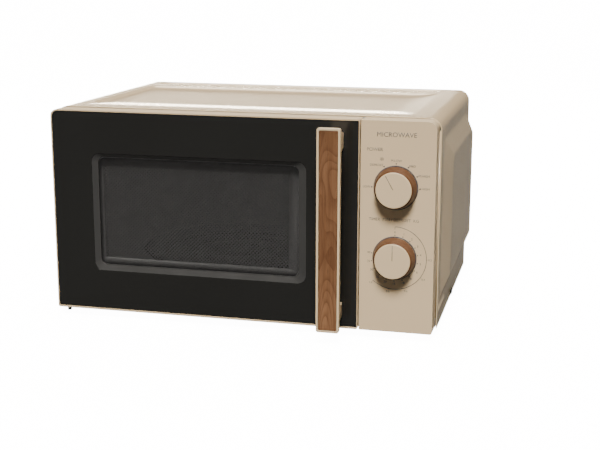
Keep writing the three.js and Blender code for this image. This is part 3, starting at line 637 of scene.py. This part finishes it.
def piece(name, made, body, slot, replaces=(), material=None, outward=True):
    """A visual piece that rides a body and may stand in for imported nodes."""
    points, faces = made
    mesh = bpy.data.meshes.new(name)
    mesh.from_pydata(put(points).tolist(), [], [tuple(map(int, f)) for f in faces])
    work = bmesh.new()
    work.from_mesh(mesh)
    bmesh.ops.remove_doubles(work, verts=work.verts, dist=1e-7)
    if outward:
        bmesh.ops.recalc_face_normals(work, faces=work.faces)
    for face in work.faces:
        face.smooth = True
    work.to_mesh(mesh)
    work.free()
    mesh.materials.append(material or LOOKS[slot])
    obj = bpy.data.objects.new(name, mesh)
    bpy.context.scene.collection.objects.link(obj)
    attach(obj, body)
    if replaces:
        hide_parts(*replaces)
    return obj


def soften(obj, width, segments=3, angle=30):
    """Rounds an object's edges and evens out its shading."""
    bevel = obj.modifiers.new("round_edges", "BEVEL")
    bevel.width = width * MM
    bevel.segments = segments
    bevel.limit_method = "ANGLE"
    bevel.angle_limit = math.radians(angle)
    bevel.use_clamp_overlap = True
    even = obj.modifiers.new("even_shading", "WEIGHTED_NORMAL")
    even.keep_sharp = False
    even.weight = 80


def smooth_group():
    """A node group that shades a mesh smooth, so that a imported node's own mesh stays as it is."""
    group = bpy.data.node_groups.new("shade_smooth", "GeometryNodeTree")
    group.interface.new_socket("Geometry", in_out="INPUT", socket_type="NodeSocketGeometry")
    group.interface.new_socket("Geometry", in_out="OUTPUT", socket_type="NodeSocketGeometry")
    start = group.nodes.new("NodeGroupInput")
    smooth = group.nodes.new("GeometryNodeSetShadeSmooth")
    end = group.nodes.new("NodeGroupOutput")
    group.links.new(start.outputs[0], smooth.inputs["Geometry"])
    group.links.new(smooth.outputs["Geometry"], end.inputs[0])
    return group


SMOOTH = smooth_group()


def dress(node, width):
    """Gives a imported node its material, rounded edges and smooth shading, all by modifiers."""
    obj = frame["nodes"][node]
    slots = {part["node"]: part["material_slot"] for part in frame["record"]["subparts"]}
    obj.data.materials.clear()
    obj.data.materials.append(LOOKS[slots[node]])
    weld = obj.modifiers.new("weld", "WELD")
    weld.merge_threshold = 0.005 * MM
    flat = obj.modifiers.new("one_face_per_plane", "DECIMATE")
    flat.decimate_type = "DISSOLVE"
    flat.angle_limit = math.radians(0.5)
    shade_smooth = obj.modifiers.new("smooth", "NODES")
    shade_smooth.node_group = SMOOTH
    soften(obj, width)


# ---------- casing ----------
SIDE_BULGE = 6.4
TOP_DROP = 1.8
COVER_CORNER = 14.0
COVER_SHEET = 0.9


def graded(*runs):
    """Grid lines from runs of (start, stop, step)."""
    lines = []
    for start, stop, step in runs:
        count = max(1, round(abs(stop - start) / step))
        lines.extend(np.linspace(start, stop, count, endpoint=False))
    lines.append(runs[-1][1])
    return np.array(lines)


def soft_step(t, ease):
    """Clamps t to 0..1 with rounded shoulders that reach ease to each side of both ends."""
    low = np.clip((t + ease) / (2 * ease), 0, 1)
    high = np.clip((1 + ease - t) / (2 * ease), 0, 1)
    rising = np.where(t < ease, ease * low * low, t)
    return np.where(t > 1 - ease, 1 - ease * high * high, rising)


def smallest(fields, blend):
    """The smallest of several fields, rounded where they cross."""
    stack = np.array(fields)
    low = stack.min(axis=0)
    return low - blend * np.log(np.exp(-(stack - low) / blend).sum(axis=0))


def plane_field(foot_a, foot_b, face):
    """A field over (y, z) that is 0 on the line foot_a, foot_b and 1 at face."""
    (ay, az), (by, bz), (fy, fz) = foot_a, foot_b, face
    ny, nz = az - bz, by - ay
    reach = (fy - ay) * ny + (fz - az) * nz
    return lambda y, z: ((y - ay) * ny + (z - az) * nz) / reach


# The slopes round a raised side: two points on the foot of each and one on the face, as (y, z).
SIDE_SLOPES = [
    plane_field((45.5, 30), (45.5, 190), (91, 50)),
    plane_field((50, 30), (322, 30), (118, 46)),
    plane_field((55, 212.7), (286, 212.7), (138, 188.5)),
    plane_field((45.5, 200), (55, 212.7), (98, 184)),
    plane_field((286, 212.7), (322, 199), (313, 186.5)),
]
BEAD_Y, BEAD_Z = 60, 20
BEAD_HALF = 24
BEAD_R = 3.4
BEAD_RISE = 1.3


def side_height(y, z):
    """How far the side is stamped out at (y, z): its raised face, and a bead below it."""
    slopes = smallest([slope(y, z) for slope in SIDE_SLOPES], 0.035)
    past_end = np.maximum(np.abs(y - BEAD_Y) - BEAD_HALF, 0)
    bead = np.hypot(past_end / BEAD_R, (z - BEAD_Z) / BEAD_R)
    return SIDE_BULGE * soft_step(slopes, 0.09) + BEAD_RISE * soft_step(1.25 - bead, 0.25)


# Sunk parts of the top: where the slopes start and where they reach the floor, as (x0, x1, y0, y1).
MIDDLE_EDGE, MIDDLE_FLOOR = (-201, 193.5, 51, 265), (-193, 168, 88, 260)
GROOVE_EDGE, GROOVE_FLOOR = (-201, 189, 289, 317), (-196, 185, 293, 312)
LOUVRES = np.arange(-168, 169, 16)
LOUVRE_Y = 272.0
LOUVRE_HALF = 5.2
LOUVRE_DEPTH = 0.7
SLOT_START, SLOT_STOP = LOUVRE_Y + 7, LOUVRE_Y + 9.5
SLOT_HALF = 4


def sunk(x, y, edge, floor):
    """0 outside the edge of a sunk panel and 1 on its floor, with sloping sides."""
    sides = [
        (x - edge[0]) / (floor[0] - edge[0]), (edge[1] - x) / (edge[1] - floor[1]),
        (y - edge[2]) / (floor[2] - edge[2]), (edge[3] - y) / (edge[3] - floor[3]),
    ]
    return soft_step(smallest(np.broadcast_arrays(*sides), 0.1), 0.16)


def top_height(x, y):
    """How far the top is off its border at (x, y): sunk middle, louvres and a groove at the back."""
    middle = sunk(x, y, MIDDLE_EDGE, MIDDLE_FLOOR)
    groove = sunk(x, y, GROOVE_EDGE, GROOVE_FLOOR)
    nearest = LOUVRES[np.abs(x[..., None] - LOUVRES).argmin(axis=-1)]
    across = 1 - ((x - nearest) / LOUVRE_HALF) ** 2
    along = np.clip((y - LOUVRE_Y + 5) / 11, 0, 1) * (y < LOUVRE_Y + 9.6)
    dent = np.sqrt(np.clip(across, 0, 1)) * along
    return -np.maximum(TOP_DROP * np.maximum(middle, groove), LOUVRE_DEPTH * dent)


# Grid lines of the cover as (start, stop, step): close together where the stamping bends.
UP_RUNS = ((15, 33, 1.1), (33, 43, 2), (43, 53, 1.2), (53, 176, 8), (176, 193, 1.6), (193, 206, 3),
           (206, 216, 1.2))
OVER_RUNS = ((-203, -190, 0.9), (-190, 182, 2), (182, 197, 0.9))
BACK_RUNS = ((32, 62, 1.6), (62, 80, 3), (80, 118, 1.6), (118, 256, 5.5), (256, 296, 1), (296, 310, 2))


def cover_section(bottom, top, half):
    """The flat cover's section, from low left to low right: x, z and the direction of its stamping."""
    bend = top - COVER_CORNER
    edge = half - COVER_CORNER
    left = [(-half, z, -1, 0) for z in graded((bottom, 15, 3), *UP_RUNS, (216, bend, 3))]
    for a in np.radians(np.linspace(180, 90, 10)[1:-1]):
        out, up = math.cos(a), math.sin(a)
        left.append((-edge + COVER_CORNER * out, bend + COVER_CORNER * up, out, up))
    over = [(x, top, 0, 1) for x in graded((-edge, -203, 3), *OVER_RUNS, (197, edge, 3))]
    right = [(-x, z, -nx, nz) for x, z, nx, nz in left[::-1]]
    return np.array(left + over + right)


def make_cover():
    """The wrap-around cover: a stamped grid with louvre slots, given the thickness of its sheet."""
    low, high = span("cabinet_cover")
    half = high[0] - SIDE_BULGE
    x, z, nx, nz = (column[:, None] for column in cover_section(low[2], high[2], half).T)
    y = graded((low[1], 32, 3), *BACK_RUNS, (310, high[1], 1.0))[None, :]
    on_side = np.abs(nx) > 0.99
    on_top = nz > 0.99
    top_rise = np.where(on_top, top_height(x + 0 * y, y + 0 * x), 0)
    rise = np.where(on_side, side_height(y, z), top_rise)
    grid = np.stack([x + nx * rise, y + 0 * x, z + nz * rise], axis=-1)
    rows, columns = grid.shape[:2]
    number = np.arange(rows * columns).reshape(rows, columns)
    corners = [number[:-1, :-1], number[1:, :-1], number[1:, 1:], number[:-1, 1:]]
    faces = np.stack(corners, axis=-1)
    middle_x = (x[:-1] + x[1:]) / 2 + 0 * y[:, 1:]
    middle_y = (y[:, :-1] + y[:, 1:]) / 2 + 0 * x[1:]
    near = np.abs(middle_x[..., None] - LOUVRES).min(axis=-1)
    slot = on_top[1:] & (near < SLOT_HALF) & (middle_y > SLOT_START) & (middle_y < SLOT_STOP)
    made = (grid.reshape(-1, 3), faces[~slot].reshape(-1, 4))
    cover = piece("stamped_cover", made, "body", "cream_paint", ["cabinet_cover"], outward=False)
    sheet = cover.modifiers.new("sheet", "SOLIDIFY")
    sheet.thickness = COVER_SHEET * MM
    sheet.offset = -1


LIP_EDGE = 222.0
LIP_FRONT, LIP_BACK = 2.5, 3.2


def make_front_lip():
    """The cover's right front edge, folded inwards behind the control panel."""
    low, high = span("cabinet_cover")
    x0, x1 = LIP_EDGE, high[0] - SIDE_BULGE - 0.5
    z0, z1 = low[2] + 3, high[2] - COVER_CORNER
    outline = [(x0, z0), (x1, z0), (x1, z1), (x0, z1)]
    lip = bridged([level(outline, low[1] + LIP_FRONT), level(outline, low[1] + LIP_BACK)])
    piece("cover_front_lip", lip, "body", "cream_paint")


# ---------- door ----------
WINDOW_RADIUS = 10.0
PANE_RADIUS = 7.0
PANE_GAP = 0.3
SLOPE_LEFT, SLOPE_RIGHT, SLOPE_BELOW, SLOPE_ABOVE = 7.3, 9.7, 7.5, 5
FACE_CORNERS = [1.5, 1, 1, 6.9]
FACE_BACK = 3.0


def grown(box, by, radius, steps=8):
    """The rounded outline of an (x0, x1, z0, z1) box, grown outwards on all sides."""
    x0, x1, z0, z1 = box
    return rounded(x0 - by, x1 + by, z0 - by, z1 + by, radius, steps)


def pane_box():
    low, high = span("door_window_pane")
    return low[0], high[0], low[2], high[2]


def window_box():
    """The mouth of the window recess, at the front face of the door."""
    x0, x1, z0, z1 = pane_box()
    return x0 - SLOPE_LEFT, x1 + SLOPE_RIGHT, z0 - SLOPE_BELOW, z1 + SLOPE_ABOVE


def make_window_slopes():
    """The dished surround between the front face and the pane."""
    front = span("door_front_panel")[0][1]
    pane_low, pane_high = span("door_window_pane")
    recess, back = pane_low[1], pane_high[1]
    mouth = grown(window_box(), -0.05, WINDOW_RADIUS)
    foot = grown(pane_box(), 1.3, PANE_RADIUS + 1)
    hole = grown(pane_box(), PANE_GAP, PANE_RADIUS + PANE_GAP)
    loops = [
        level(mouth, front + 0.3), level(foot, recess), level(hole, recess), level(hole, back),
        level(mouth, back),
    ]
    made = bridged(loops, closed=True)
    # The slopes hold the black gloss slot, in a lighter copy of it: painted reflection.
    slopes = piece("window_slopes", made, "door", "black_gloss", material=SLOPE_GLOSS_PAINTED_REFLECTION)
    soften(slopes, 0.3, 2, 12)


def make_door_face():
    """The gloss black front, with the opening for the window."""
    low, high = span("door_front_panel")
    front = low[1]
    outer = rounded(low[0], high[0], low[2], high[2], FACE_CORNERS, 8)
    mouth = grown(window_box(), 0, WINDOW_RADIUS)
    loops = [level(outer, FACE_BACK), level(outer, front), level(mouth, front), level(mouth, FACE_BACK)]
    made = bridged(loops, closed=True)
    face = piece("door_gloss_face", made, "door", "black_gloss", ["door_front_panel"])
    soften(face, 0.45, 3, 12)


def make_window():
    """The smoked pane, with its front edge eased."""
    low, high = span("door_window_pane")
    ease = 0.35
    outline = grown(pane_box(), 0, PANE_RADIUS)
    inner = grown(pane_box(), -ease, PANE_RADIUS - ease)
    front, back = low[1], high[1]
    loops = [
        level(inner, front), level(outline, front + ease), level(outline, back - 0.1), level(inner, back),
    ]
    pane = piece("window_pane", bridged(loops), "door", "smoked_pane", ["door_window_pane"])
    even = pane.modifiers.new("even_shading", "WEIGHTED_NORMAL")
    even.keep_sharp = False


HOLE_PITCH_X = 4.3
HOLE_PITCH_Z = 2.1
HOLE_R = 1.08
HOLE_SIDES = 12
SCREEN_SHEET = 0.4


def hole_cell():
    """One diamond-shaped cell of the screen round its hole: points in (x, z), then its faces."""
    half = HOLE_PITCH_X / 2
    corners = np.array([(half, 0), (0, HOLE_PITCH_Z), (-half, 0), (0, -HOLE_PITCH_Z)])
    parts = np.linspace(0, 1, HOLE_SIDES // 4, endpoint=False)[:, None]
    sides = zip(corners, np.roll(corners, -1, axis=0), strict=True)
    edge = np.vstack([a + (b - a) * parts for a, b in sides])
    turn = np.arctan2(edge[:, 1], edge[:, 0])
    hole = HOLE_R * np.stack([np.cos(turn), np.sin(turn)], axis=1)
    k = np.arange(HOLE_SIDES)
    m = (k + 1) % HOLE_SIDES
    return np.vstack([edge, hole]), np.stack([k, m, HOLE_SIDES + m, HOLE_SIDES + k], axis=1)


def hole_centres(x0, x1, z0, z1):
    """Centres of the staggered rows of holes, in (x, z)."""
    columns = round((x1 - x0) / HOLE_PITCH_X)
    rows = round((z1 - z0) / HOLE_PITCH_Z)
    i, j = np.meshgrid(np.arange(columns), np.arange(rows), indexing="ij")
    x = (x0 + (i + 0.25 + 0.5 * (j % 2)) * HOLE_PITCH_X).ravel()
    z = (z0 + (j + 0.5) * HOLE_PITCH_Z).ravel()
    return np.stack([x, z], axis=1)


def make_screen():
    """The perforated screen behind the pane, and the plain margin of the same sheet round it."""
    low, high = span("door_screen")
    depth = low[1] - 0.5
    centres = hole_centres(low[0] - 3, high[0] - 6.5, low[2] + 0.3, high[2] - 7.3)
    ring, cell = hole_cell()
    flat = (centres[:, None, :] + ring[None]).reshape(-1, 2)
    points = np.stack([flat[:, 0], np.full(len(flat), depth), flat[:, 1]], axis=1)
    first = np.arange(len(centres)) * len(ring)
    faces = (cell[None] + first[:, None, None]).reshape(-1, 4)
    made = (points, faces)
    screen = piece("perforated_screen", made, "door", "dark_steel", ["door_screen"], SCREEN_PAINT, False)
    sheet_metal = screen.modifiers.new("sheet", "SOLIDIFY")
    sheet_metal.thickness = SCREEN_SHEET * MM
    sheet_metal.offset = 0
    (left, bottom), (right, top) = centres.min(axis=0), centres.max(axis=0)
    inside = grown((left - 1, right + 1, bottom - 0.9, top + 0.9), 0, 0.3, 2)
    sheet = grown((low[0] - 8, high[0] + 9, low[2] - 9, high[2] + 8.5), 0, 4, 2)
    near, far = depth - 0.1, depth + 0.4
    margin = [level(inside, near), level(sheet, near), level(sheet, far), level(inside, far)]
    made = bridged(margin, closed=True)
    piece("screen_margin", made, "door", "dark_steel", material=SCREEN_PAINT)


# ---------- controls ----------
PRINT_FRONT = -0.03
PRINT_BACK = 0.02


def flat_prism(outline):
    """An outline in (x, z) as a skin of ink on the panel."""
    return bridged([level(outline, PRINT_FRONT), level(outline, PRINT_BACK)])


def bar(x0, z0, x1, z1, width):
    """A straight stroke of ink."""
    along = Vector((x1 - x0, z1 - z0)).normalized()
    across, up = -along.y * width / 2, along.x * width / 2
    return flat_prism([
        (x0 - across, z0 - up), (x1 - across, z1 - up), (x1 + across, z1 + up), (x0 + across, z0 + up),
    ])


def clock(centre, r, angle):
    """A point at a clock angle, in degrees from the top."""
    a = math.radians(angle)
    return centre[0] + r * math.sin(a), centre[1] + r * math.cos(a)


def dot(x, z, r):
    return flat_prism(arc_points(x, z, r, 0, 345, 23))


def arc_band(centre, r, width, start, stop):
    """A curved stroke of ink between two clock angles."""
    steps = max(4, round((stop - start) / 3))
    angles = np.linspace(start, stop, steps + 1)
    outer = [clock(centre, r + width / 2, a) for a in angles]
    inner = [clock(centre, r - width / 2, a) for a in angles[::-1]]
    return flat_prism(outer + inner)


def words(text, x, z, size, align="CENTER"):
    """A line of print in the plain built-in font."""
    curve = bpy.data.curves.new("words", "FONT")
    curve.body = text
    curve.size = size
    curve.align_x = align
    curve.align_y = "CENTER"
    curve.resolution_u = 3
    curve.extrude = (PRINT_BACK - PRINT_FRONT) / 2
    holder = bpy.data.objects.new("words", curve)
    bpy.context.scene.collection.objects.link(holder)
    shape = holder.evaluated_get(bpy.context.evaluated_depsgraph_get())
    mesh = bpy.data.meshes.new_from_object(shape)
    middle = (PRINT_FRONT + PRINT_BACK) / 2
    points = [(x + v.co.x, middle - v.co.z, z + v.co.y) for v in mesh.vertices]
    faces = [tuple(polygon.vertices) for polygon in mesh.polygons]
    bpy.data.objects.remove(holder)
    bpy.data.meshes.remove(mesh)
    bpy.data.curves.remove(curve)
    return points, faces


def snowflake(x, z, r):
    """Six arms with two short branches each, for the defrost setting."""
    strokes = []
    for angle in range(0, 360, 60):
        tip = clock((x, z), r, angle)
        strokes.append(bar(x, z, *tip, 0.3))
        knee = clock((x, z), r * 0.6, angle)
        for side in (-50, 50):
            branch = clock(knee, r * 0.36, angle + side)
            strokes.append(bar(*knee, *branch, 0.25))
    return strokes


POWER_MARKS = {-90: "LOW", -30: "DEFROST", 0: "M.LOW", 30: "MED", 60: "M.HIGH", 90: "HIGH"}
MINUTES = [0, 1, 2, 3, 4, 5, 6, 8, 10, 15, 20, 25, 30, 35, 40]
WEIGHTS = {90: "0.2", 125: "0.4", 160: "0.6", 190: "0.8", 222: "1.0"}
DOT_R = 26.6
NAME_SIZE = 7.4
POWER_SIZE = 5.2
TIMER_SIZE = 4.6
MARK_SIZE = 3.6
WEIGHT_SIZE = 3.2
WEIGHT_ARC_R = 35.5
MINUTE_STEP = 20
# Width of the ink ring that is painted shadow round each knob.
KNOB_SHADOW_WIDTH = 1.4


def knob_centre(name):
    low, high = span(f"{name}_knob_ring")
    return (low[0] + high[0]) / 2, (low[2] + high[2]) / 2


def knob_radius(name, part):
    low, high = span(f"{name}_knob_{part}")
    return (high[2] - low[2]) / 2


def power_print(centre):
    """The power settings round the upper knob."""
    marks = []
    for angle, text in POWER_MARKS.items():
        marks.append(dot(*clock(centre, DOT_R, angle), 0.85))
        align = "LEFT" if angle > 15 else "RIGHT" if angle < -15 else "CENTER"
        place = clock(centre, DOT_R + (1.6 if angle else 3.2), angle)
        marks.append(words(text, *place, MARK_SIZE, align))
    return marks + snowflake(*clock(centre, DOT_R + 8.5, -27), 2.3)


def minute_print(centre):
    """The minutes round the lower knob."""
    marks = []
    for step, minutes in enumerate(MINUTES):
        angle = MINUTE_STEP * step
        marks.append(dot(*clock(centre, DOT_R - 0.6, angle), 0.65))
        marks.append(words(str(minutes), *clock(centre, DOT_R + 2.7, angle), MARK_SIZE))
    return marks


def weight_print(centre):
    """The defrost weights on an outer arc round the lower knob."""
    marks = [bar(*clock(centre, WEIGHT_ARC_R - 2.9, 0), *clock(centre, WEIGHT_ARC_R, 0), 0.5)]
    for angle, text in WEIGHTS.items():
        start, stop = (clock(centre, WEIGHT_ARC_R + r, angle) for r in (0, 1.3))
        marks.append(bar(*start, *stop, 0.35))
        marks.append(words(text, *clock(centre, WEIGHT_ARC_R + 3.9, angle), WEIGHT_SIZE))
    return marks


def make_panel_print():
    """All marks on the control panel, and a dark ring of ink round each knob: painted shadow of the gap
    between knob and panel.
    """
    power, timer = knob_centre("power"), knob_centre("timer")
    low, high = span("control_panel")
    marks = [words("POWER", low[0] + 6.5, power[1] + 41.5, POWER_SIZE, "LEFT")]
    marks.append(words("MICROWAVE", power[0], high[2] - 15.5, NAME_SIZE))
    marks.append(words("TIMER  MIN / DEFROST  KG", power[0] - 1.5, timer[1] + 43.0, TIMER_SIZE))
    marks += power_print(power)
    marks += minute_print(timer)
    marks.append(arc_band(timer, WEIGHT_ARC_R, 0.6, 0, 222))
    # Painted shadow: a dark ring of ink just outside each wooden ring, where the gap to the panel lies in
    # shade.
    for name in ("power", "timer"):
        for start in (0, 180):
            knob_shadow_r = knob_radius(name, "ring") + 0.25
            marks.append(arc_band(knob_centre(name), knob_shadow_r, KNOB_SHADOW_WIDTH, start, start + 180))
    marks += weight_print(timer)
    piece("print_and_knob_shade", merged(*marks), "body", "black_plastic", material=INK_FOR_PRINT_AND_SHADE)


KNOB_STEPS = 128
SHAFT_BORE = 3.3
POINTER_WIDTH = 0.62


def make_knob(name, pointing):
    """A flat cream cap in a tapered wooden ring, with an inlaid line at a clock angle."""
    x, z = knob_centre(name)
    front, seat = -span(f"{name}_knob_cap")[0][1], -span(f"{name}_knob_ring")[0][1]
    foot = -span(f"{name}_knob_ring")[1][1]
    cap_r, ring_r = knob_radius(name, "cap"), knob_radius(name, "ring")
    body, axis, centre = f"{name}_knob", (0, -1, 0), (x, 0, z)
    ring = [
        (cap_r - 1, foot), (ring_r - 0.9, foot), (ring_r - 0.3, foot + 0.2), (ring_r, foot + 0.7),
        (ring_r - 0.1, foot + 1.3), (cap_r + 1.5, seat - 1.4), (cap_r + 0.9, seat - 0.4),
        (cap_r + 0.3, seat), (cap_r - 1, seat),
    ]
    made = lathe(ring, centre, axis, KNOB_STEPS)
    wooden = piece(f"{body}_wood", made, body, "wood_trim", [f"{body}_ring"], RING_WOOD_SHADED)
    soften(wooden, 0.15, 2, 40)
    bore = SHAFT_BORE
    cap = [
        (bore, foot + 1), (cap_r - 1.3, foot + 1), (cap_r - 1.3, seat + 0.3), (cap_r - 0.3, seat + 0.3),
        (cap_r, seat + 0.5), (cap_r, front - 0.7), (cap_r - 0.15, front - 0.35), (cap_r - 0.5, front - 0.08),
        (cap_r - 1.0, front), (0.01, front), (0.01, front - 3), (bore, front - 3),
    ]
    made = lathe(cap, centre, axis, KNOB_STEPS)
    face = piece(f"{body}_face", made, body, "cream_plastic", [f"{body}_cap"])
    soften(face, 0.1, 2, 50)
    start, stop = (clock((x, z), r, pointing) for r in (1.0, cap_r - 1.6))
    points, faces = bar(*start, *stop, POINTER_WIDTH)
    inlay = [(px, py - front + 0.01, pz) for px, py, pz in points]
    piece(f"{body}_pointer", (inlay, faces), body, "black_plastic", material=INK_FOR_PRINT_AND_SHADE)


# ---------- screws ----------
HEAD_HEIGHT = 2.4
CROSS_R = 2.2
CROSS_HALF = 0.5
CROSS_DEPTH = 1.1
CROSS_TURN = 0.5


def screw_head(name, node, axis):
    """A domed head with a cross recess, turned a little, on the side of a node that axis points to."""
    low, high = span(node)
    axis, up = np.array(axis, float), np.array((0, 0, 1.0))
    radius = (high - low)[2] / 2
    face = np.where(axis > 0, high, low) * np.abs(axis) + (low + high) / 2 * (1 - np.abs(axis))
    sideways = np.cross(axis, up)
    rings = np.concatenate([np.linspace(0.12, 2.6, 16), np.linspace(2.75, radius, 12)])
    turns = np.linspace(0, math.tau, 72, endpoint=False) + CROSS_TURN
    loops = []
    for r in rings:
        u, v = r * np.cos(turns), r * np.sin(turns)
        near, far = np.minimum(np.abs(u), np.abs(v)), np.maximum(np.abs(u), np.abs(v))
        dome = HEAD_HEIGHT * math.sqrt(max(0.0, 1 - (r / radius) ** 2 * 0.93))
        arm = (near < CROSS_HALF) & (far < CROSS_R)
        rise = np.where(arm, dome - CROSS_DEPTH + 0.25 * r, dome)
        ring = face + np.outer(rise - HEAD_HEIGHT, axis) + np.outer(u, sideways) + np.outer(v, up)
        loops.append([tuple(p) for p in ring])
    rim = np.outer(np.cos(turns), sideways) + np.outer(np.sin(turns), up)
    loops.append([tuple(p) for p in face - HEAD_HEIGHT * axis + radius * rim])
    piece(name, bridged(loops), "body", "black_screw", [node])


def make_screws():
    """The two screws of the cover on each side and the two at the back."""
    for side, x in (("left", -1), ("right", 1)):
        screw_head(f"side_screw_head_{side}", f"side_screw_{side}", (x, 0, 0))
        screw_head(f"rear_screw_head_{side}", f"rear_screw_{side}", (0, 1, 0))


# ---------- oven cavity ----------
COVE_R = 7.0
COVE_STEPS = 8


def cove(start, end, u, v):
    """A hollow rounding along the edge from start to end, between walls that lie along u and v."""
    start, end, u, v = (np.array(p, float) for p in (start, end, u, v))
    section = [np.zeros(3)]
    for a in np.radians(np.linspace(0, 90, COVE_STEPS + 1)):
        section.append(COVE_R * ((1 - math.sin(a)) * u + (1 - math.cos(a)) * v))
    loops = [[tuple(corner + p) for p in section] for corner in (start, end)]
    return bridged(loops)


def make_cavity_corners():
    """The rounded corners of the enamelled oven, as the walls themselves are flat sheets."""
    (x0, _, _), (x1, _, _) = span("cavity_left_wall")[1], span("cavity_right_wall")[0]
    z0, z1 = span("cavity_floor")[1][2], span("cavity_roof")[0][2]
    y0, y1 = span("cavity_floor")[0][1], span("cavity_back_wall")[0][1]
    coves = []
    for x, u in ((x0, (1, 0, 0)), (x1, (-1, 0, 0))):
        for z, v in ((z0, (0, 0, 1)), (z1, (0, 0, -1))):
            coves.append(cove((x, y0, z), (x, y1, z), u, v))
        coves.append(cove((x, y1, z0), (x, y1, z1), u, (0, -1, 0)))
    for z, v in ((z0, (0, 0, 1)), (z1, (0, 0, -1))):
        coves.append(cove((x0, y1, z), (x1, y1, z), (0, -1, 0), v))
    piece("cavity_corners", merged(*coves), "body", "cavity_enamel")


def make_tray():
    """The glass plate, with a raised rim and moulded rings underneath."""
    low, high = span("glass_tray")
    centre = ((low[0] + high[0]) / 2, (low[1] + high[1]) / 2, low[2])
    rim = (high[0] - low[0]) / 2
    flat = rim - 17
    profile = [
        (0.01, 4.0), (flat - 2, 4.0), (flat + 1, 4.4), (rim - 5, 9.6), (rim - 3, 10.4), (rim - 1.2, 10.5),
        (rim - 0.3, 10.2), (rim, 9.4), (rim - 0.5, 8.6), (rim - 4, 6.2), (rim - 14, 0.8), (flat, 0.0),
    ]
    for r in (flat - 12, 60, 30):
        profile += [(r + 2, 0.0), (r + 1, 0.6), (r - 1, 0.6), (r - 2, 0.0)]
    profile.append((0.01, 0.0))
    made = lathe(profile, centre, (0, 0, 1), 144)
    tray = piece("glass_plate", made, "tray", "clear_pane", ["glass_tray"])
    soften(tray, 0.15, 2, 50)


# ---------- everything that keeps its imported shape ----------
EDGE_WIDTH = 0.4
EDGE_WIDTHS = {
    "door_frame": 1.2, "control_panel": 2.0, "handle_body": 1.2, "handle_wood_inlay": 0.5,
    "power_knob_cap": 0.5, "timer_knob_cap": 0.5, "power_knob_ring": 0.5, "timer_knob_ring": 0.5,
    "door_choke_cover": 0.6, "front_plate": 0.3, "latch_hook": 0.5, "latch_spring": 0.05,
    "door_plate": 0.2, "rear_panel": 0.3, "base_plate": 0.3,
}


def dress_packed_nodes():
    """Every node that no visual piece replaces keeps its own mesh."""
    for name, obj in frame["nodes"].items():
        if not obj.hide_render:
            dress(name, EDGE_WIDTHS.get(name, EDGE_WIDTH))


make_cover()
make_front_lip()
make_window_slopes()
make_door_face()
make_window()
make_screen()
make_panel_print()
make_knob("power", -30)
make_knob("timer", 0)
make_screws()
make_cavity_corners()
make_tray()
dress_packed_nodes()
